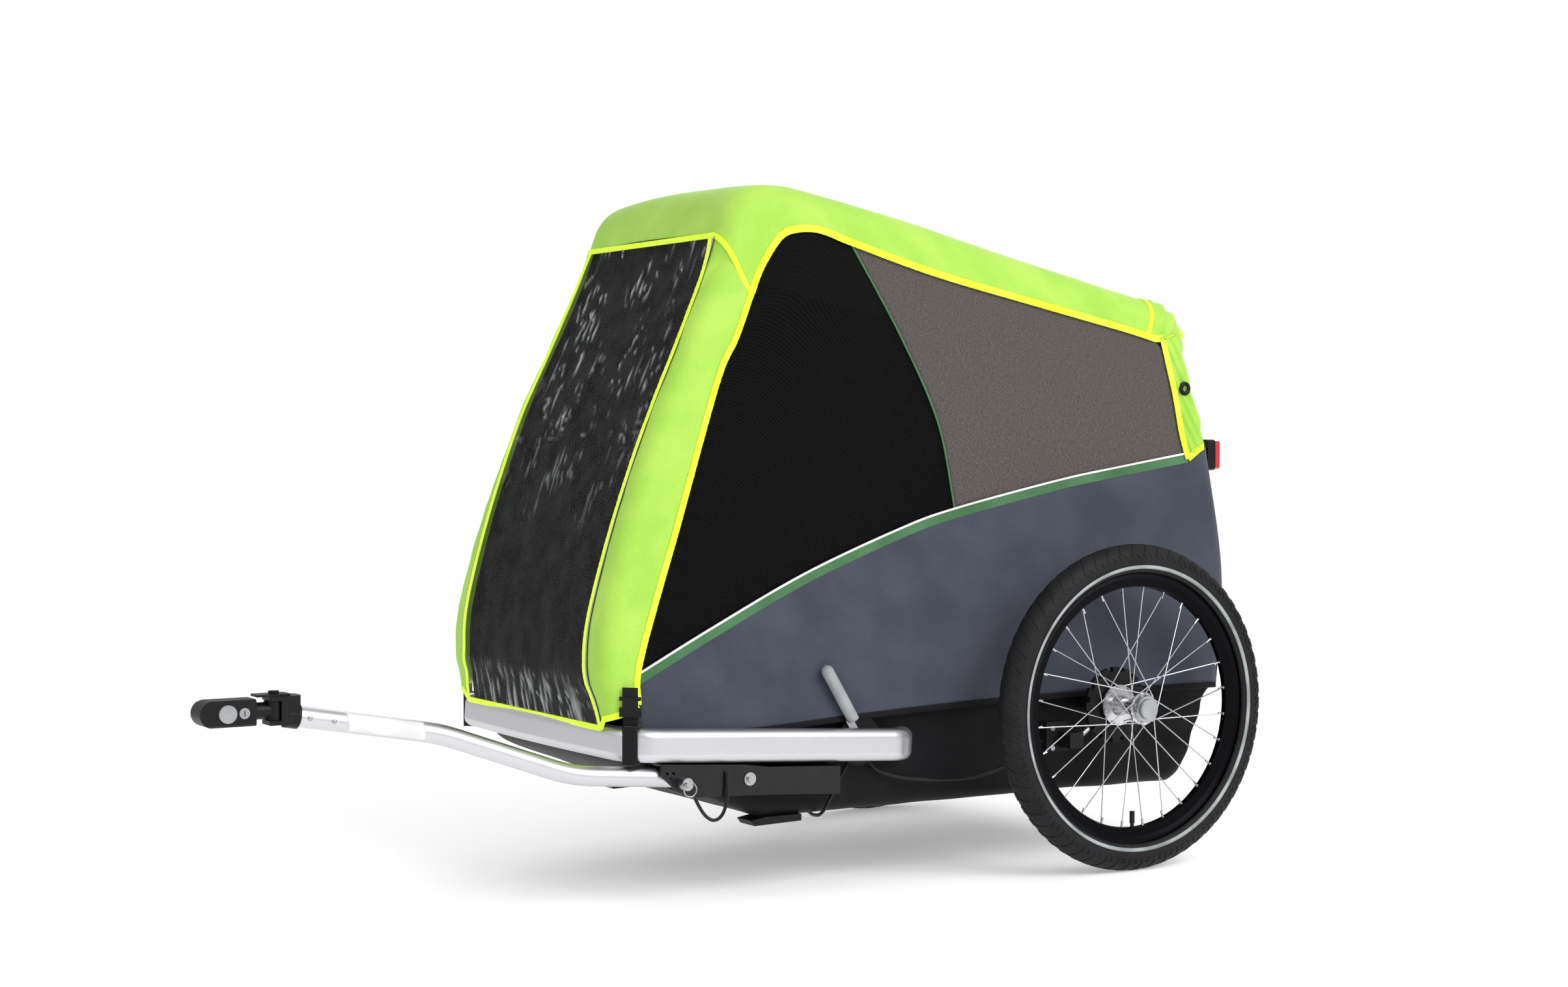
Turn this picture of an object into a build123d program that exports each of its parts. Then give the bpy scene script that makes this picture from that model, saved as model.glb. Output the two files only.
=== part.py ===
"""Two-wheeled bicycle trailer with a folding fabric cabin, a side drawbar and a parking brake.

Millimetres. +Z is up, -X is the way it travels (drawbar end), -Y is the trailer's left side.
The model is laid out from the wheel axle on the ground; save() moves it so that the origin is
the middle of the footprint.
"""
from build123d import *
import math
import os

# ---------------------------------------------------------------- driving dimensions
TYRE_OD = 500.0          # 47-406 tyre on a 20 inch rim
TYRE_WIDTH = 47.0
RIM_SEAT_D = 406.0
RIM_FLANGE_R = 208.0
TRACK = 730.0            # distance between the two tyre centre planes
NOSE_REACH = 1435.0      # hitch nose ahead of the axle
REAR_REACH = 286.0       # rear face of the lamp behind the axle
BODY_HALF_LOW = 262.0    # half width of the fabric cabin at LEAN_FROM_Z
BODY_HALF_HIGH = 222.0   # half width of the fabric cabin at LEAN_TO_Z
LEAN_FROM_Z = 250.0
LEAN_TO_Z = 1000.0
ROOF_Z = 1035.0          # highest line of the cabin, over the front hoop
ROOF_X = -537.0
DRAWN_ROOF_Z = 1035.0    # roof height that the cabin outlines below are drawn for
FLOOR_Z = 112.0          # underside of the tub
TUB_TOP_Z = 262.0        # upper edge of the stiff lower tub
TUB_HALF = 241.0
TUB_WALL = 2.5
TUB_FRONT_X = -582.0     # where the flat floor ends and the front ramp starts
TUB_REAR_X = 200.0
BUMPER_HALF = 290.0
BUMPER_FRONT_X = -851.0
BUMPER_REAR_X = -332.0
BUMPER_SLOPE = 3.5       # degrees, nose up
BUMPER_TALL = 48.0
BUMPER_DEEP = 30.0
BUMPER_WALL = 2.0
BUMPER_FRONT_Z = 236.0   # centre height at the front
BUMPER_CORNER_R = 45.0   # centre line radius of the front corners
BUMPER_END_R = 38.0
BUMPER_BOW = 14.0        # how far the front bows forward
FRAME_R = 12.5           # side rails of the base frame
CROSS_R = 11.0           # cross tubes
POST_R = 10.0            # rear posts
STRUT_R = 10.0           # front struts and bumper uprights
CROSS_X = -794.0         # front cross tube
FRAME_WALL = 1.6
RAIL_Y = 225.0
RAIL_Z = 140.0
HOOP_R = 10.5            # front and rear hoop tube
HOOP_WALL = 1.5
FRONT_PIVOT = (-790.0, 285.0)
FRONT_TOP = (-555.0, 1012.0)
REAR_PIVOT = (235.0, 400.0)
REAR_TOP = (182.0, 855.0)
FRONT_HOOP_LOW_Y = 236.0
FRONT_HOOP_TOP_Y = 186.0
REAR_HOOP_LOW_Y = 233.0
REAR_HOOP_TOP_Y = 212.0
FABRIC = 4.0             # thickness given to a fabric wall
AXLE_R = 6.0
BEARING_CLEAR = 0.04     # radial running clearance of the axle in its bearings
PIN_CLEAR = 0.05         # radial running clearance of the small hinge pins
HINGE_PIN_R = 4.0
PIN_REACH = 20.0         # how far a hinge pin reaches inwards of its hoop leg
EYE_HALF = 11.5          # half length of the bored eye at a hoop's foot
HUB_IN_Y = TRACK / 2 - 33.0    # inner spoke flange
HUB_OUT_Y = TRACK / 2 + 25.0   # outer spoke flange
HUB_CAP_Y = TRACK / 2 + 41.0   # outer face of the release button
BEARING_LONG = 8.0
BEARING_IN_R = 13.0      # outer radius of the bearing in the inner flange
BEARING_OUT_R = 14.0     # outer radius of the bearing in the outer flange
AXLE_HOLLOW_R = 3.2      # hole for the release button's stem
BUTTON_STEM_R = 3.0
RELEASE_BUTTON_R = 15.0
SOCKET_Y = 222.0         # inner face of the axle socket plates
SOCKET_R = 14.0
SOCKET_WALL = 5.0
SOCKET_END_Y = HUB_IN_Y - 26.0   # outer end of the axle boss
SPOKES = 28
SPOKE_R = 0.95
DRAWBAR_R = 14.0
DRAWBAR_WALL = 2.0
BRACKET_GAP = 5.0        # from the drawbar to the outside of the bracket
BRACKET_WALL = 4.0
PIN_HOLE_CLEAR = 0.15    # radial clearance of the drawbar's lock pin
DRAWBAR_Y = -262.0
HITCH_Z = 314.0
YAW_X = -1332.0          # vertical swivel axis of the hitch
HEAD_HALF_Z = 17.0
HEAD_HALF_Y = 19.0
HEAD_REAR_X = -1361.0
SWIVEL_PIN_R = 4.0
SPIGOT_R = 8.0
KEY_R = 7.0
HITCH_BUTTON_R = 11.6
HITCH_WELL_R = 12.0
HITCH_BORE_R = 6.0
LOCK_PIN = (-742.0, 178.0)
LOCK_PIN_R = 4.0
LEVER_PIVOT = (-428.0, 215.0)
LEVER_TIP = (-495.0, 322.0)
BRAKE_DISC_R = 58.0
BRAKE_NOTCHES = 16
CABLE_R = 2.5
LOCK_LINE = (-66.0, -44.0)   # direction of the locking bolts from the axle (x, z)
BOLT_R = 3.5
BOLT_Y = HUB_IN_Y - 10.0
HOUSING_AT = (-93.0, 204.0)
HOUSING_Y = HUB_IN_Y - 44.0
LEVER_STUB_R = 5.0
GRIP_R = 9.2
LAMP_Z = 634.0
CLAMP_SCREW = (-632.0, 176.0)
GAP = 0.5                # small air gap between separate bodies

WHEEL_R = TYRE_OD / 2
SHIFT_X = (NOSE_REACH - REAR_REACH) / 2   # axle frame -> footprint centre
SIDES = {"left": -1, "right": 1}

os.makedirs("parts", exist_ok=True)


# ---------------------------------------------------------------- helpers
def save(name, *shapes):
    """Write one node, moved from the axle frame to the footprint frame."""
    solids = [s for shape in shapes for s in shape.solids()]
    export_step(Pos(SHIFT_X, 0, 0) * Compound(children=solids), f"parts/{name}.step")


def half_width(z):
    """Outer half width of the leaning fabric cabin at height z."""
    t = (z - LEAN_FROM_Z) / (LEAN_TO_Z - LEAN_FROM_Z)
    return BODY_HALF_LOW + (BODY_HALF_HIGH - BODY_HALF_LOW) * t


def tall(outline):
    """Cabin outline drawn for the standard roof, stretched to the roof's height."""
    share = (ROOF_Z - TUB_TOP_Z) / (DRAWN_ROOF_Z - TUB_TOP_Z)
    return [(x, TUB_TOP_Z + (z - TUB_TOP_Z) * share) for x, z in outline]


def rod(start, end, radius):
    """Solid cylinder between two points."""
    path = Vector(*end) - Vector(*start)
    return extrude(Plane(origin=start, z_dir=path) * Circle(radius), path.length)


def bent_rod(points, radius, bends):
    """Round bar along straight runs joined by tangent arcs."""
    path = FilletPolyline(*points, radius=bends)
    return sweep(Plane(origin=path @ 0, z_dir=path % 0) * Circle(radius), path=path)


def bent_tube(points, radius, wall, bends):
    """Hollow round tube along straight runs joined by tangent arcs."""
    path = FilletPolyline(*points, radius=bends)
    ring = Circle(radius) - Circle(radius - wall)
    return sweep(Plane(origin=path @ 0, z_dir=path % 0) * ring, path=path)


def slab(outline, y0, y1):
    """Side-view outline (x, z) carried across from y0 to y1."""
    face = make_face(Polyline(*[(x, 0, z) for x, z in outline], close=True))
    return Pos(0, y0, 0) * extrude(face, y1 - y0, dir=(0, 1, 0))


def leaning_prism(outline, inset):
    """Side-view outline carried across the cabin between its two leaning side planes."""
    block = slab(outline, -BODY_HALF_LOW * 2, BODY_HALF_LOW * 2)
    low, high = LEAN_FROM_Z - 300, LEAN_TO_Z + 300
    wedge_low, wedge_high = half_width(low) - inset, half_width(high) - inset
    corners = [(-wedge_low, low), (wedge_low, low), (wedge_high, high), (-wedge_high, high)]
    face = make_face(Polyline(*[(-2000, y, z) for y, z in corners], close=True))
    return block & extrude(face, 4000, dir=(1, 0, 0))


def lathe_y(profile, centre):
    """Turn an outline of (radius, y) points about the axle line through centre (x, z)."""
    face = make_face(Polyline(*[(r, y, 0) for r, y in profile], close=True))
    return Pos(centre[0], 0, centre[1]) * revolve(face, Axis.Y)


def disc_y(centre, radius, y0, y1):
    """Cylinder along Y at side-view point centre (x, z)."""
    return rod((centre[0], y0, centre[1]), (centre[0], y1, centre[1]), radius)


def tyre_profile(grow=0.0):
    """Half of the tyre's round section, as arc points about the seat centre."""
    mid_r = RIM_SEAT_D / 2 + 22
    height = WHEEL_R - mid_r
    half = TYRE_WIDTH / 2
    turns = [math.radians(a) for a in range(-60, 241, 15)]
    return [(mid_r + (height + grow) * math.sin(a), (half + grow) * math.cos(a)) for a in turns]


# ---------------------------------------------------------------- wheels
def make_wheel(side):
    """One complete wheel: tyre, inner tube, rim, hub, spokes, bearings and notched disc."""
    s = SIDES[side]
    mid = s * TRACK / 2
    hub_c = (0.0, WHEEL_R)
    outer = lathe_y([(r, mid + y) for r, y in tyre_profile()], hub_c)
    inner = lathe_y([(r, mid + y) for r, y in tyre_profile(-3.2)], hub_c)
    seat = RIM_FLANGE_R + 0.4
    gap = lathe_y([(150, mid - 40), (seat, mid - 40), (seat, mid + 40), (150, mid + 40)], hub_c)
    save(f"tyre_{side}", outer - inner - gap)

    tube_mid = RIM_SEAT_D / 2 + 24
    ring = [(tube_mid + 15 * math.sin(a), mid + 17 * math.cos(a))
            for a in [math.radians(t) for t in range(0, 360, 24)]]
    valve = rod((0, mid, WHEEL_R - tube_mid + 14), (0, mid, WHEEL_R - 168), 3.0)
    cap = rod((0, mid, WHEEL_R - 178), (0, mid, WHEEL_R - 160), 4.0)
    save(f"inner_tube_{side}", lathe_y(ring, hub_c) + valve + cap)

    rim = [(208, 12.5), (204, 12.5), (202, 10.5), (198, 9), (186, 7), (184, 4), (184, -4),
           (186, -7), (198, -9), (202, -10.5), (204, -12.5), (208, -12.5), (208, -11),
           (203, -9.3), (201, -4), (201, 4), (203, 9.3), (208, 11)]
    rim_solid = lathe_y([(r, mid + y) for r, y in rim], hub_c)
    save(f"rim_{side}", rim_solid - rod((0, mid, 20), (0, mid, 90), 4.2))

    flange_in, flange_out = s * HUB_IN_Y, s * HUB_OUT_Y
    hub = [(10, flange_in - s * 6), (20, flange_in - s * 6), (22, flange_in - s * 1.6),
           (31.5, flange_in - s * 1.6), (31.5, flange_in + s * 1.6), (17, flange_in + s * 3),
           (12, flange_in + s * 16), (12, flange_out - s * 16), (17, flange_out - s * 3),
           (25, flange_out - s * 1.6), (25, flange_out + s * 1.6), (22, flange_out + s * 2),
           (20, flange_out + s * 11), (15.5, flange_out + s * 11), (15.5, flange_out + s * 1),
           (10, flange_out + s * 1)]
    hub_solid = lathe_y(hub, hub_c)
    seats = [flange_in - s * 6, flange_out + s * 1]
    ends = ((seats[0], s, BEARING_IN_R), (seats[1], -s, BEARING_OUT_R))
    for seat, way, seat_r in ends:
        hub_solid -= disc_y(hub_c, seat_r, seat, seat + way * BEARING_LONG)
    save(f"hub_{side}", hub_solid)
    bore = AXLE_R + BEARING_CLEAR
    races = []
    for seat, way, seat_r in ends:
        race = disc_y(hub_c, seat_r, seat, seat + way * BEARING_LONG)
        races.append(race - disc_y(hub_c, bore, seat - way, seat + way * (BEARING_LONG + 1)))
    save(f"hub_bearings_{side}", *races)

    spokes = []
    for i in range(SPOKES):
        inner_row = i % 2 == 0
        flange, flange_r = (flange_in, 27.5) if inner_row else (flange_out, 23.8)
        lean = 62.0 if (i // 2) % 2 == 0 else -62.0
        layer = 4.4 if (i // 2) % 2 == 0 else -4.4
        rim_a = 2 * math.pi * (i + 0.5) / SPOKES
        hub_a = rim_a + math.radians(lean)
        start = (flange_r * math.sin(hub_a), flange + layer, WHEEL_R - flange_r * math.cos(hub_a))
        end = (183.5 * math.sin(rim_a), mid, WHEEL_R - 183.5 * math.cos(rim_a))
        spokes.append(rod(start, end, SPOKE_R))
    save(f"spokes_{side}", *spokes)

    disc = disc_y(hub_c, BRAKE_DISC_R, flange_in - s * 14, flange_in - s * 6.2)
    disc -= disc_y(hub_c, 10.0, flange_in - s * 15, flange_in - s * 5)
    for i in range(BRAKE_NOTCHES):
        a = 2 * math.pi * (i + 0.5) / BRAKE_NOTCHES
        notch = Pos(BRAKE_DISC_R * math.cos(a), 0, WHEEL_R + BRAKE_DISC_R * math.sin(a))
        cut = Rot(0, -math.degrees(a), 0) * Box(12, 30, 9)
        disc -= notch * Pos(0, flange_in - s * 10, 0) * cut
    save(f"brake_disc_{side}", disc)


def make_axle(side):
    """Stub axle with a hollow outer end, its release button and the socket plate that holds it."""
    s = SIDES[side]
    c = (0.0, WHEEL_R)
    collar_y = HUB_OUT_Y + 2.5
    axle = disc_y(c, AXLE_R, s * (SOCKET_Y + 2), s * collar_y)
    axle += disc_y(c, 10.0, s * collar_y, s * (collar_y + 6.5))
    axle -= disc_y(c, AXLE_HOLLOW_R, s * (HUB_OUT_Y - 10), s * (HUB_OUT_Y + 10))
    save(f"axle_{side}", axle)
    cap_y = HUB_CAP_Y - 4.5
    button = disc_y(c, RELEASE_BUTTON_R, s * cap_y, s * HUB_CAP_Y)
    button += disc_y(c, BUTTON_STEM_R, s * (cap_y - 16.5), s * cap_y)
    save(f"release_button_{side}", button)
    half = 46.0
    foot = RAIL_Z + FRAME_R
    outline = [(-half, foot), (half, foot), (half, foot + 20), (24, WHEEL_R + 26),
               (-24, WHEEL_R + 26), (-half, foot + 20)]
    y_in, y_out = s * SOCKET_Y, s * (SOCKET_Y + SOCKET_WALL)
    plate = slab(outline, min(y_in, y_out), max(y_in, y_out))
    boss = disc_y(c, SOCKET_R, y_in, s * SOCKET_END_Y)
    save(f"axle_socket_{side}", plate + boss - disc_y(c, AXLE_R, s * 200, s * (SOCKET_END_Y + 14)))


# ---------------------------------------------------------------- frame and bumper
def make_base_frame():
    """Welded tube frame: floor loop, front struts, bumper arms and rear posts."""
    runs = []
    for s in SIDES.values():
        rail = s * RAIL_Y
        post = s * (REAR_HOOP_LOW_Y - 26)
        runs += [((-572, rail, RAIL_Z), (198, rail, RAIL_Z), FRAME_R),
                 ((-560, s * 190, RAIL_Z), (CROSS_X, s * 190, 222), STRUT_R),
                 ((BUMPER_REAR_X + 4, rail, RAIL_Z), (BUMPER_REAR_X + 4, rail, 217), STRUT_R),
                 ((195, post, RAIL_Z), (REAR_PIVOT[0], post, REAR_PIVOT[1] + 14), POST_R)]
    for x in (-560, 50, 195):
        runs.append(((x, -RAIL_Y, RAIL_Z), (x, RAIL_Y, RAIL_Z), CROSS_R))
    runs.append(((CROSS_X, -212, 222), (CROSS_X, 212, 222), CROSS_R))
    tubes = [rod(start, end, radius) for start, end, radius in runs]
    bores = []
    for start, end, radius in runs:
        step = (Vector(*end) - Vector(*start)).normalized() * 0.5
        first, last = Vector(*start) - step, Vector(*end) + step
        bores.append(rod(tuple(first), tuple(last), radius - FRAME_WALL))
    frame = tubes[0].fuse(*tubes[1:]) - bores[0].fuse(*bores[1:])
    for s in SIDES.values():
        low_y = s * REAR_HOOP_LOW_Y
        frame -= disc_y(REAR_PIVOT, HINGE_PIN_R, low_y - s * PIN_REACH, low_y)
    return frame


def make_bumper():
    """Flat-oval tube bent round the front and both sides, its ends turned in to the frame."""
    mid_y = BUMPER_HALF - BUMPER_DEEP / 2
    front = BUMPER_FRONT_X + BUMPER_DEEP / 2
    rear = BUMPER_REAR_X - BUMPER_DEEP / 2
    corner = front + BUMPER_BOW
    points = [(rear, RAIL_Y, 0), (rear, mid_y, 0), (corner, mid_y, 0), (front, 0, 0),
              (corner, -mid_y, 0), (rear, -mid_y, 0), (rear, -RAIL_Y, 0)]
    bends = [BUMPER_END_R, BUMPER_CORNER_R, 3000, BUMPER_CORNER_R, BUMPER_END_R]
    path = FilletPolyline(*points, radius=bends)
    section = Plane(origin=path @ 0, z_dir=path % 0, x_dir=(0, 0, 1))
    outer = section * RectangleRounded(BUMPER_TALL, BUMPER_DEEP, 13)
    wall = 2 * BUMPER_WALL
    inner = section * RectangleRounded(BUMPER_TALL - wall, BUMPER_DEEP - wall, 11)
    tube = sweep(outer, path=path) - sweep(inner, path=path)
    tilt = Pos(front, 0, BUMPER_FRONT_Z) * Rot(0, BUMPER_SLOPE, 0) * Pos(-front, 0, 0)
    bumper = tilt * tube
    for s in SIDES.values():
        x, y = BUMPER_REAR_X + 4, s * RAIL_Y
        bumper -= rod((x, y, 100), (x, y, 300), STRUT_R)
        bumper -= Pos(x, y - s * 20, 200) * Box(60, 40, 120)
    return bumper


def bumper_z(x):
    """Centre height of the bumper side at x."""
    drop = math.tan(math.radians(BUMPER_SLOPE)) * (x - BUMPER_FRONT_X - BUMPER_DEEP / 2)
    return BUMPER_FRONT_Z - drop


# ---------------------------------------------------------------- fabric cabin
def front_line(z, inset=0.0):
    """Side-view x of the leaning front face at height z."""
    return -820.0 + (z - 273.0) * 178.0 / 681.0 + inset


def roof_line(x):
    """Drawn outer roof height behind the front hoop."""
    return DRAWN_ROOF_Z - (x - ROOF_X) * 0.2165


def make_lower_tub():
    """Stiff lower tray: floor, front ramp and low walls, open at the top."""
    outline = [(TUB_FRONT_X, FLOOR_Z), (TUB_REAR_X, FLOOR_Z), (262, TUB_TOP_Z - GAP),
               (-808, TUB_TOP_Z - GAP), (-812, 236), (-780, 190)]
    outer = slab(outline, -TUB_HALF, TUB_HALF)
    t = TUB_WALL
    inside = [(TUB_FRONT_X + 1, FLOOR_Z + t), (TUB_REAR_X - 2, FLOOR_Z + t),
              (262 - t, TUB_TOP_Z), (262 - t, 300), (-808 + t, 300), (-808 + t, 238),
              (-777, 193)]
    tray = outer - slab(inside, -TUB_HALF + t, TUB_HALF - t)
    tray -= slab([(-900, 189), (-772, 189), (-772, 300), (-900, 300)], -300, 300)
    for s in SIDES.values():
        tray -= disc_y((0, WHEEL_R), SOCKET_R + GAP, s * 200, s * 300)
        tray -= make_housing_arm(s, GAP)
        x, z = BUMPER_REAR_X - BUMPER_DEEP / 2, bumper_z(BUMPER_REAR_X)
        tray -= Pos(x, s * TUB_HALF, z) * Box(BUMPER_DEEP + 4, 20, BUMPER_TALL + 6)
    return tray


NEON_EDGE = [(-803, 305), (-661, 744), (-582, 911), (-550, 954), (-500, 968), (-425, 952),
             (148, 822), (173, 793), (190, 728), (212, 625)]
REAR_FACE = [(249, 621), (271, 442), (258, TUB_TOP_Z)]


def make_side_wall(side):
    """Leaning side wall of the cabin, from the tub's edge up to the roof cover's edge."""
    outline = [(x, z - GAP) if z > 700 else (x, z) for x, z in NEON_EDGE]
    outline = tall([(-803, TUB_TOP_Z)] + outline + REAR_FACE)
    wall = leaning_prism(outline, 0) - leaning_prism(outline, FABRIC)
    s = SIDES[side]
    wall &= Pos(0, s * 400, 600) * Box(3000, 800, 1400)
    return wall - disc_y((0, WHEEL_R), SOCKET_R + GAP, s * 200, s * 300)


def make_roof():
    """Roof cover: top skin with side drops, rounded over the front hoop."""
    crown = [(-642, 958), (-622, 1003), (-590, 1027), (ROOF_X, DRAWN_ROOF_Z),
             (212, roof_line(212))]
    drop = [(224, 846), (214, 826), (150, 824), (-425, 954), (-500, 970), (-550, 956)]
    outer = leaning_prism(tall(crown + drop), 0)
    inner_crown = [(-637, 940), (-618, 1001), (-588, 1022), (ROOF_X, DRAWN_ROOF_Z - FABRIC),
                   (208, roof_line(212) - FABRIC), (219, 846), (210, 700), (-560, 700)]
    return outer - leaning_prism(tall(inner_crown), FABRIC)


def make_front_panel():
    """Front cover: window face with a return down each side, open towards the cabin."""
    edge = [(x - GAP * 2, z) for x, z in NEON_EDGE[:3]]
    outline = [(front_line(268), 268), (front_line(955), 955), (-596, 916)] + edge[::-1]
    outline += [(-803 - 2 * GAP, 268)]
    outer = leaning_prism(tall(outline), 0)
    inner = [(front_line(200, 5), 200), (front_line(1000, 5), 1000), (-500, 1000), (-500, 200)]
    return outer - leaning_prism(tall(inner), FABRIC)


def make_rear_panel():
    """Upper rear cover with a return at each corner."""
    face = [(221, 822), (221, 779), (250, 683), (256, 622), (278, 446), (276, 404)]
    back = [(x - 5, z) for x, z in face[::-1]]
    skin = leaning_prism(tall(face + back), 0)
    corner = [(178, 790), (194, 728), (215, 628), (254, 625), (248, 683), (219, 779), (219, 818)]
    returns = leaning_prism(tall(corner), 0) - leaning_prism(tall(corner), FABRIC)
    return skin + returns


def make_rear_lower_panel():
    """Lower rear wall between the tub and the rear hoop's pivots."""
    face = [(266, TUB_TOP_Z), (278, 400), (274, 400), (262, TUB_TOP_Z)]
    return leaning_prism(tall(face), FABRIC + GAP)


# ---------------------------------------------------------------- hoops
def make_hoop(pivot, top, low_y, top_y, corner):
    """U-shaped tube standing on two pivots, with a bored eye at each foot."""
    top = tall([top])[0]
    points = [(pivot[0], -low_y, pivot[1]), (top[0], -top_y, top[1]),
              (top[0], top_y, top[1]), (pivot[0], low_y, pivot[1])]
    hoop = bent_tube(points, HOOP_R, HOOP_WALL, [corner, corner])
    for s in (-1, 1):
        hoop += disc_y(pivot, HOOP_R + 2, s * (low_y - EYE_HALF), s * (low_y + EYE_HALF))
    for s in (-1, 1):
        hoop -= disc_y(pivot, HINGE_PIN_R + PIN_CLEAR, s * (low_y - 20), s * (low_y + 20))
    return hoop


def make_hinge_pins(pivot, low_y):
    """Shouldered pins, one each side, through the hoop's eyes."""
    pins = []
    for s in (-1, 1):
        head = low_y + EYE_HALF + GAP
        shank = disc_y(pivot, HINGE_PIN_R, s * (low_y - PIN_REACH), s * head)
        pins.append(shank + disc_y(pivot, 7.0, s * head, s * (head + 2.5)))
    return pins


def make_front_hinge_plates():
    """Upright plates on the front cross tube that carry the front hoop's pins."""
    plates = []
    outline = [(-794, 236), (-772, 236), (-776, 292), (-783, 300), (-797, 300), (-802, 292),
               (-802, 268)]
    for s in (-1, 1):
        near, far = s * (FRONT_HOOP_LOW_Y - 20), s * (FRONT_HOOP_LOW_Y - 14)
        plate = slab(outline, min(near, far), max(near, far))
        foot = Pos(-784, s * (FRONT_HOOP_LOW_Y - 32), 237.5) * Box(22, 30, 5)
        plates.append(plate + foot - disc_y(FRONT_PIVOT, HINGE_PIN_R, s * 200, s * 240))
    return plates


# ---------------------------------------------------------------- drawbar and hitch
DRAWBAR_LINE = [(-1315.0, 306.5), (-1103.0, 269.0), (-905.0, 198.0), (-640.0, 175.0)]


def make_drawbar():
    """Bent tube from the bracket under the bumper to the hitch."""
    points = [(x, DRAWBAR_Y, z) for x, z in DRAWBAR_LINE]
    tube = bent_tube(points, DRAWBAR_R, DRAWBAR_WALL, [300, 260])
    return tube - disc_y(LOCK_PIN, LOCK_PIN_R + PIN_HOLE_CLEAR, DRAWBAR_Y - 30, DRAWBAR_Y + 30)


def make_bracket():
    """Folded steel channel under the bumper; the drawbar's end is pinned between its cheeks."""
    cheek = [(-776, 206), (-776, 190), (-754, 170), (-720, 156), (-600, 151), (-478, 143),
             (-478, 184), (-600, 190), (-640, 196)]
    y_out, y_in = DRAWBAR_Y - DRAWBAR_R - BRACKET_GAP, DRAWBAR_Y + DRAWBAR_R + BRACKET_GAP
    bracket = slab(cheek, y_out, y_out + BRACKET_WALL) + slab(cheek, y_in - BRACKET_WALL, y_in)
    lid = [(-776, 203), (-776, 206.5), (-640, 197), (-600, 191), (-478, 184), (-478, 180),
           (-600, 187), (-640, 193)]
    bracket += slab(lid, y_out, y_in)
    bracket -= disc_y(LOCK_PIN, LOCK_PIN_R + PIN_HOLE_CLEAR, -320, -200)
    for x, z in ((-766, 193), (-756, 193), (-761, 186)):
        bracket -= disc_y((x, z), 2.2, -320, -200)
    return bracket - disc_y(CLAMP_SCREW, 4.0, -320, -200)


def make_lock_pin():
    """Pin with a knurled head, and the split ring through it."""
    y_face = DRAWBAR_Y - DRAWBAR_R - BRACKET_GAP - 0.3
    pin = disc_y(LOCK_PIN, LOCK_PIN_R, y_face - 2, DRAWBAR_Y + DRAWBAR_R + BRACKET_GAP)
    pin += disc_y(LOCK_PIN, 9.0, y_face - 16, y_face)
    pin += disc_y(LOCK_PIN, 4.5, y_face - 21, y_face - 16)
    ring_at = Pos(LOCK_PIN[0] + 2, y_face - 19, LOCK_PIN[1] - 7)
    ring = ring_at * Rot(90, 0, 0) * Torus(10, 0.9)
    return pin, ring - disc_y(LOCK_PIN, 4.5, y_face - 30, y_face)


def make_hitch_collar():
    """Yoke on the drawbar's end: two jaws above and below the swivel, and a top plate."""
    x, y, z = YAW_X, DRAWBAR_Y, HITCH_Z
    sleeve = rod((-1317, y, 307), (-1300, y, 304), DRAWBAR_R + 2.5)
    block = Pos(x + 12, y, z) * Box(44, 32, 37)
    yoke = sleeve + (block & Pos(x + 10, y, z) * Cylinder(25, 40))
    yoke -= Pos(x - 6, y, z) * Cylinder(19.5, 26)
    yoke -= Pos(x - 26, y, z) * Box(40, 60, 26)
    yoke -= rod((x, y, z - 40), (x, y, z + 40), SWIVEL_PIN_R + PIN_CLEAR)
    plate = Pos(x - 4, y, z + 20) * Box(44, 26, 3)
    yoke += plate - rod((x, y, z - 40), (x, y, z + 40), SWIVEL_PIN_R + PIN_CLEAR)
    return yoke - rod((-1315, y, 306.5), (-1294, y, 302.8), DRAWBAR_R)


def make_hitch_neck():
    """Swivel barrel between the jaws, its pin, and the spigot that the head turns on."""
    x, y, z = YAW_X, DRAWBAR_Y, HITCH_Z
    barrel = Pos(x, y, z) * Cylinder(12.5, 25.4)
    pin = rod((x, y, z - 17), (x, y, z + 24), SWIVEL_PIN_R) + rod((x, y, z + 22), (x, y, z + 25), 7.0)
    waist = rod((x, y, z), (HEAD_REAR_X + GAP, y, z), 11.0)
    spigot = rod((HEAD_REAR_X + GAP, y, z), (HEAD_REAR_X - 24, y, z), SPIGOT_R)
    return barrel + pin + waist + spigot


def make_hitch_head():
    """Moulded coupling head with a rounded nose, a button well and a lock well."""
    y, z = DRAWBAR_Y, HITCH_Z
    nose_c = -NOSE_REACH + HEAD_HALF_Z
    body = disc_y((nose_c, z), HEAD_HALF_Z, y - HEAD_HALF_Y, y + HEAD_HALF_Y)
    length = HEAD_REAR_X - nose_c
    body += Pos(nose_c + length / 2, y, z) * Box(length, HEAD_HALF_Y * 2, HEAD_HALF_Z * 2)
    body = body & Pos(nose_c, y, z) * Rot(0, 90, 0) * Cylinder(23.5, 400)
    body -= rod((HEAD_REAR_X - 26, y, z), (HEAD_REAR_X + 5, y, z), SPIGOT_R + PIN_CLEAR)
    body -= disc_y(BUTTON_AT, HITCH_WELL_R, y - HEAD_HALF_Y - 5, y - 4)
    body -= disc_y(KEY_AT, KEY_R + PIN_CLEAR, y - HEAD_HALF_Y - 5, y - 9)
    return body - rod((nose_c, y + 30, z), (nose_c, y + 2, z), HITCH_BORE_R)


BUTTON_AT = (-NOSE_REACH + 36, HITCH_Z)
KEY_AT = (-NOSE_REACH + 58, HITCH_Z)


def make_hitch_button():
    """Round push button in the head's well."""
    y = DRAWBAR_Y - HEAD_HALF_Y
    return disc_y(BUTTON_AT, HITCH_BUTTON_R, y - 2.5, y + 9)


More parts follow.
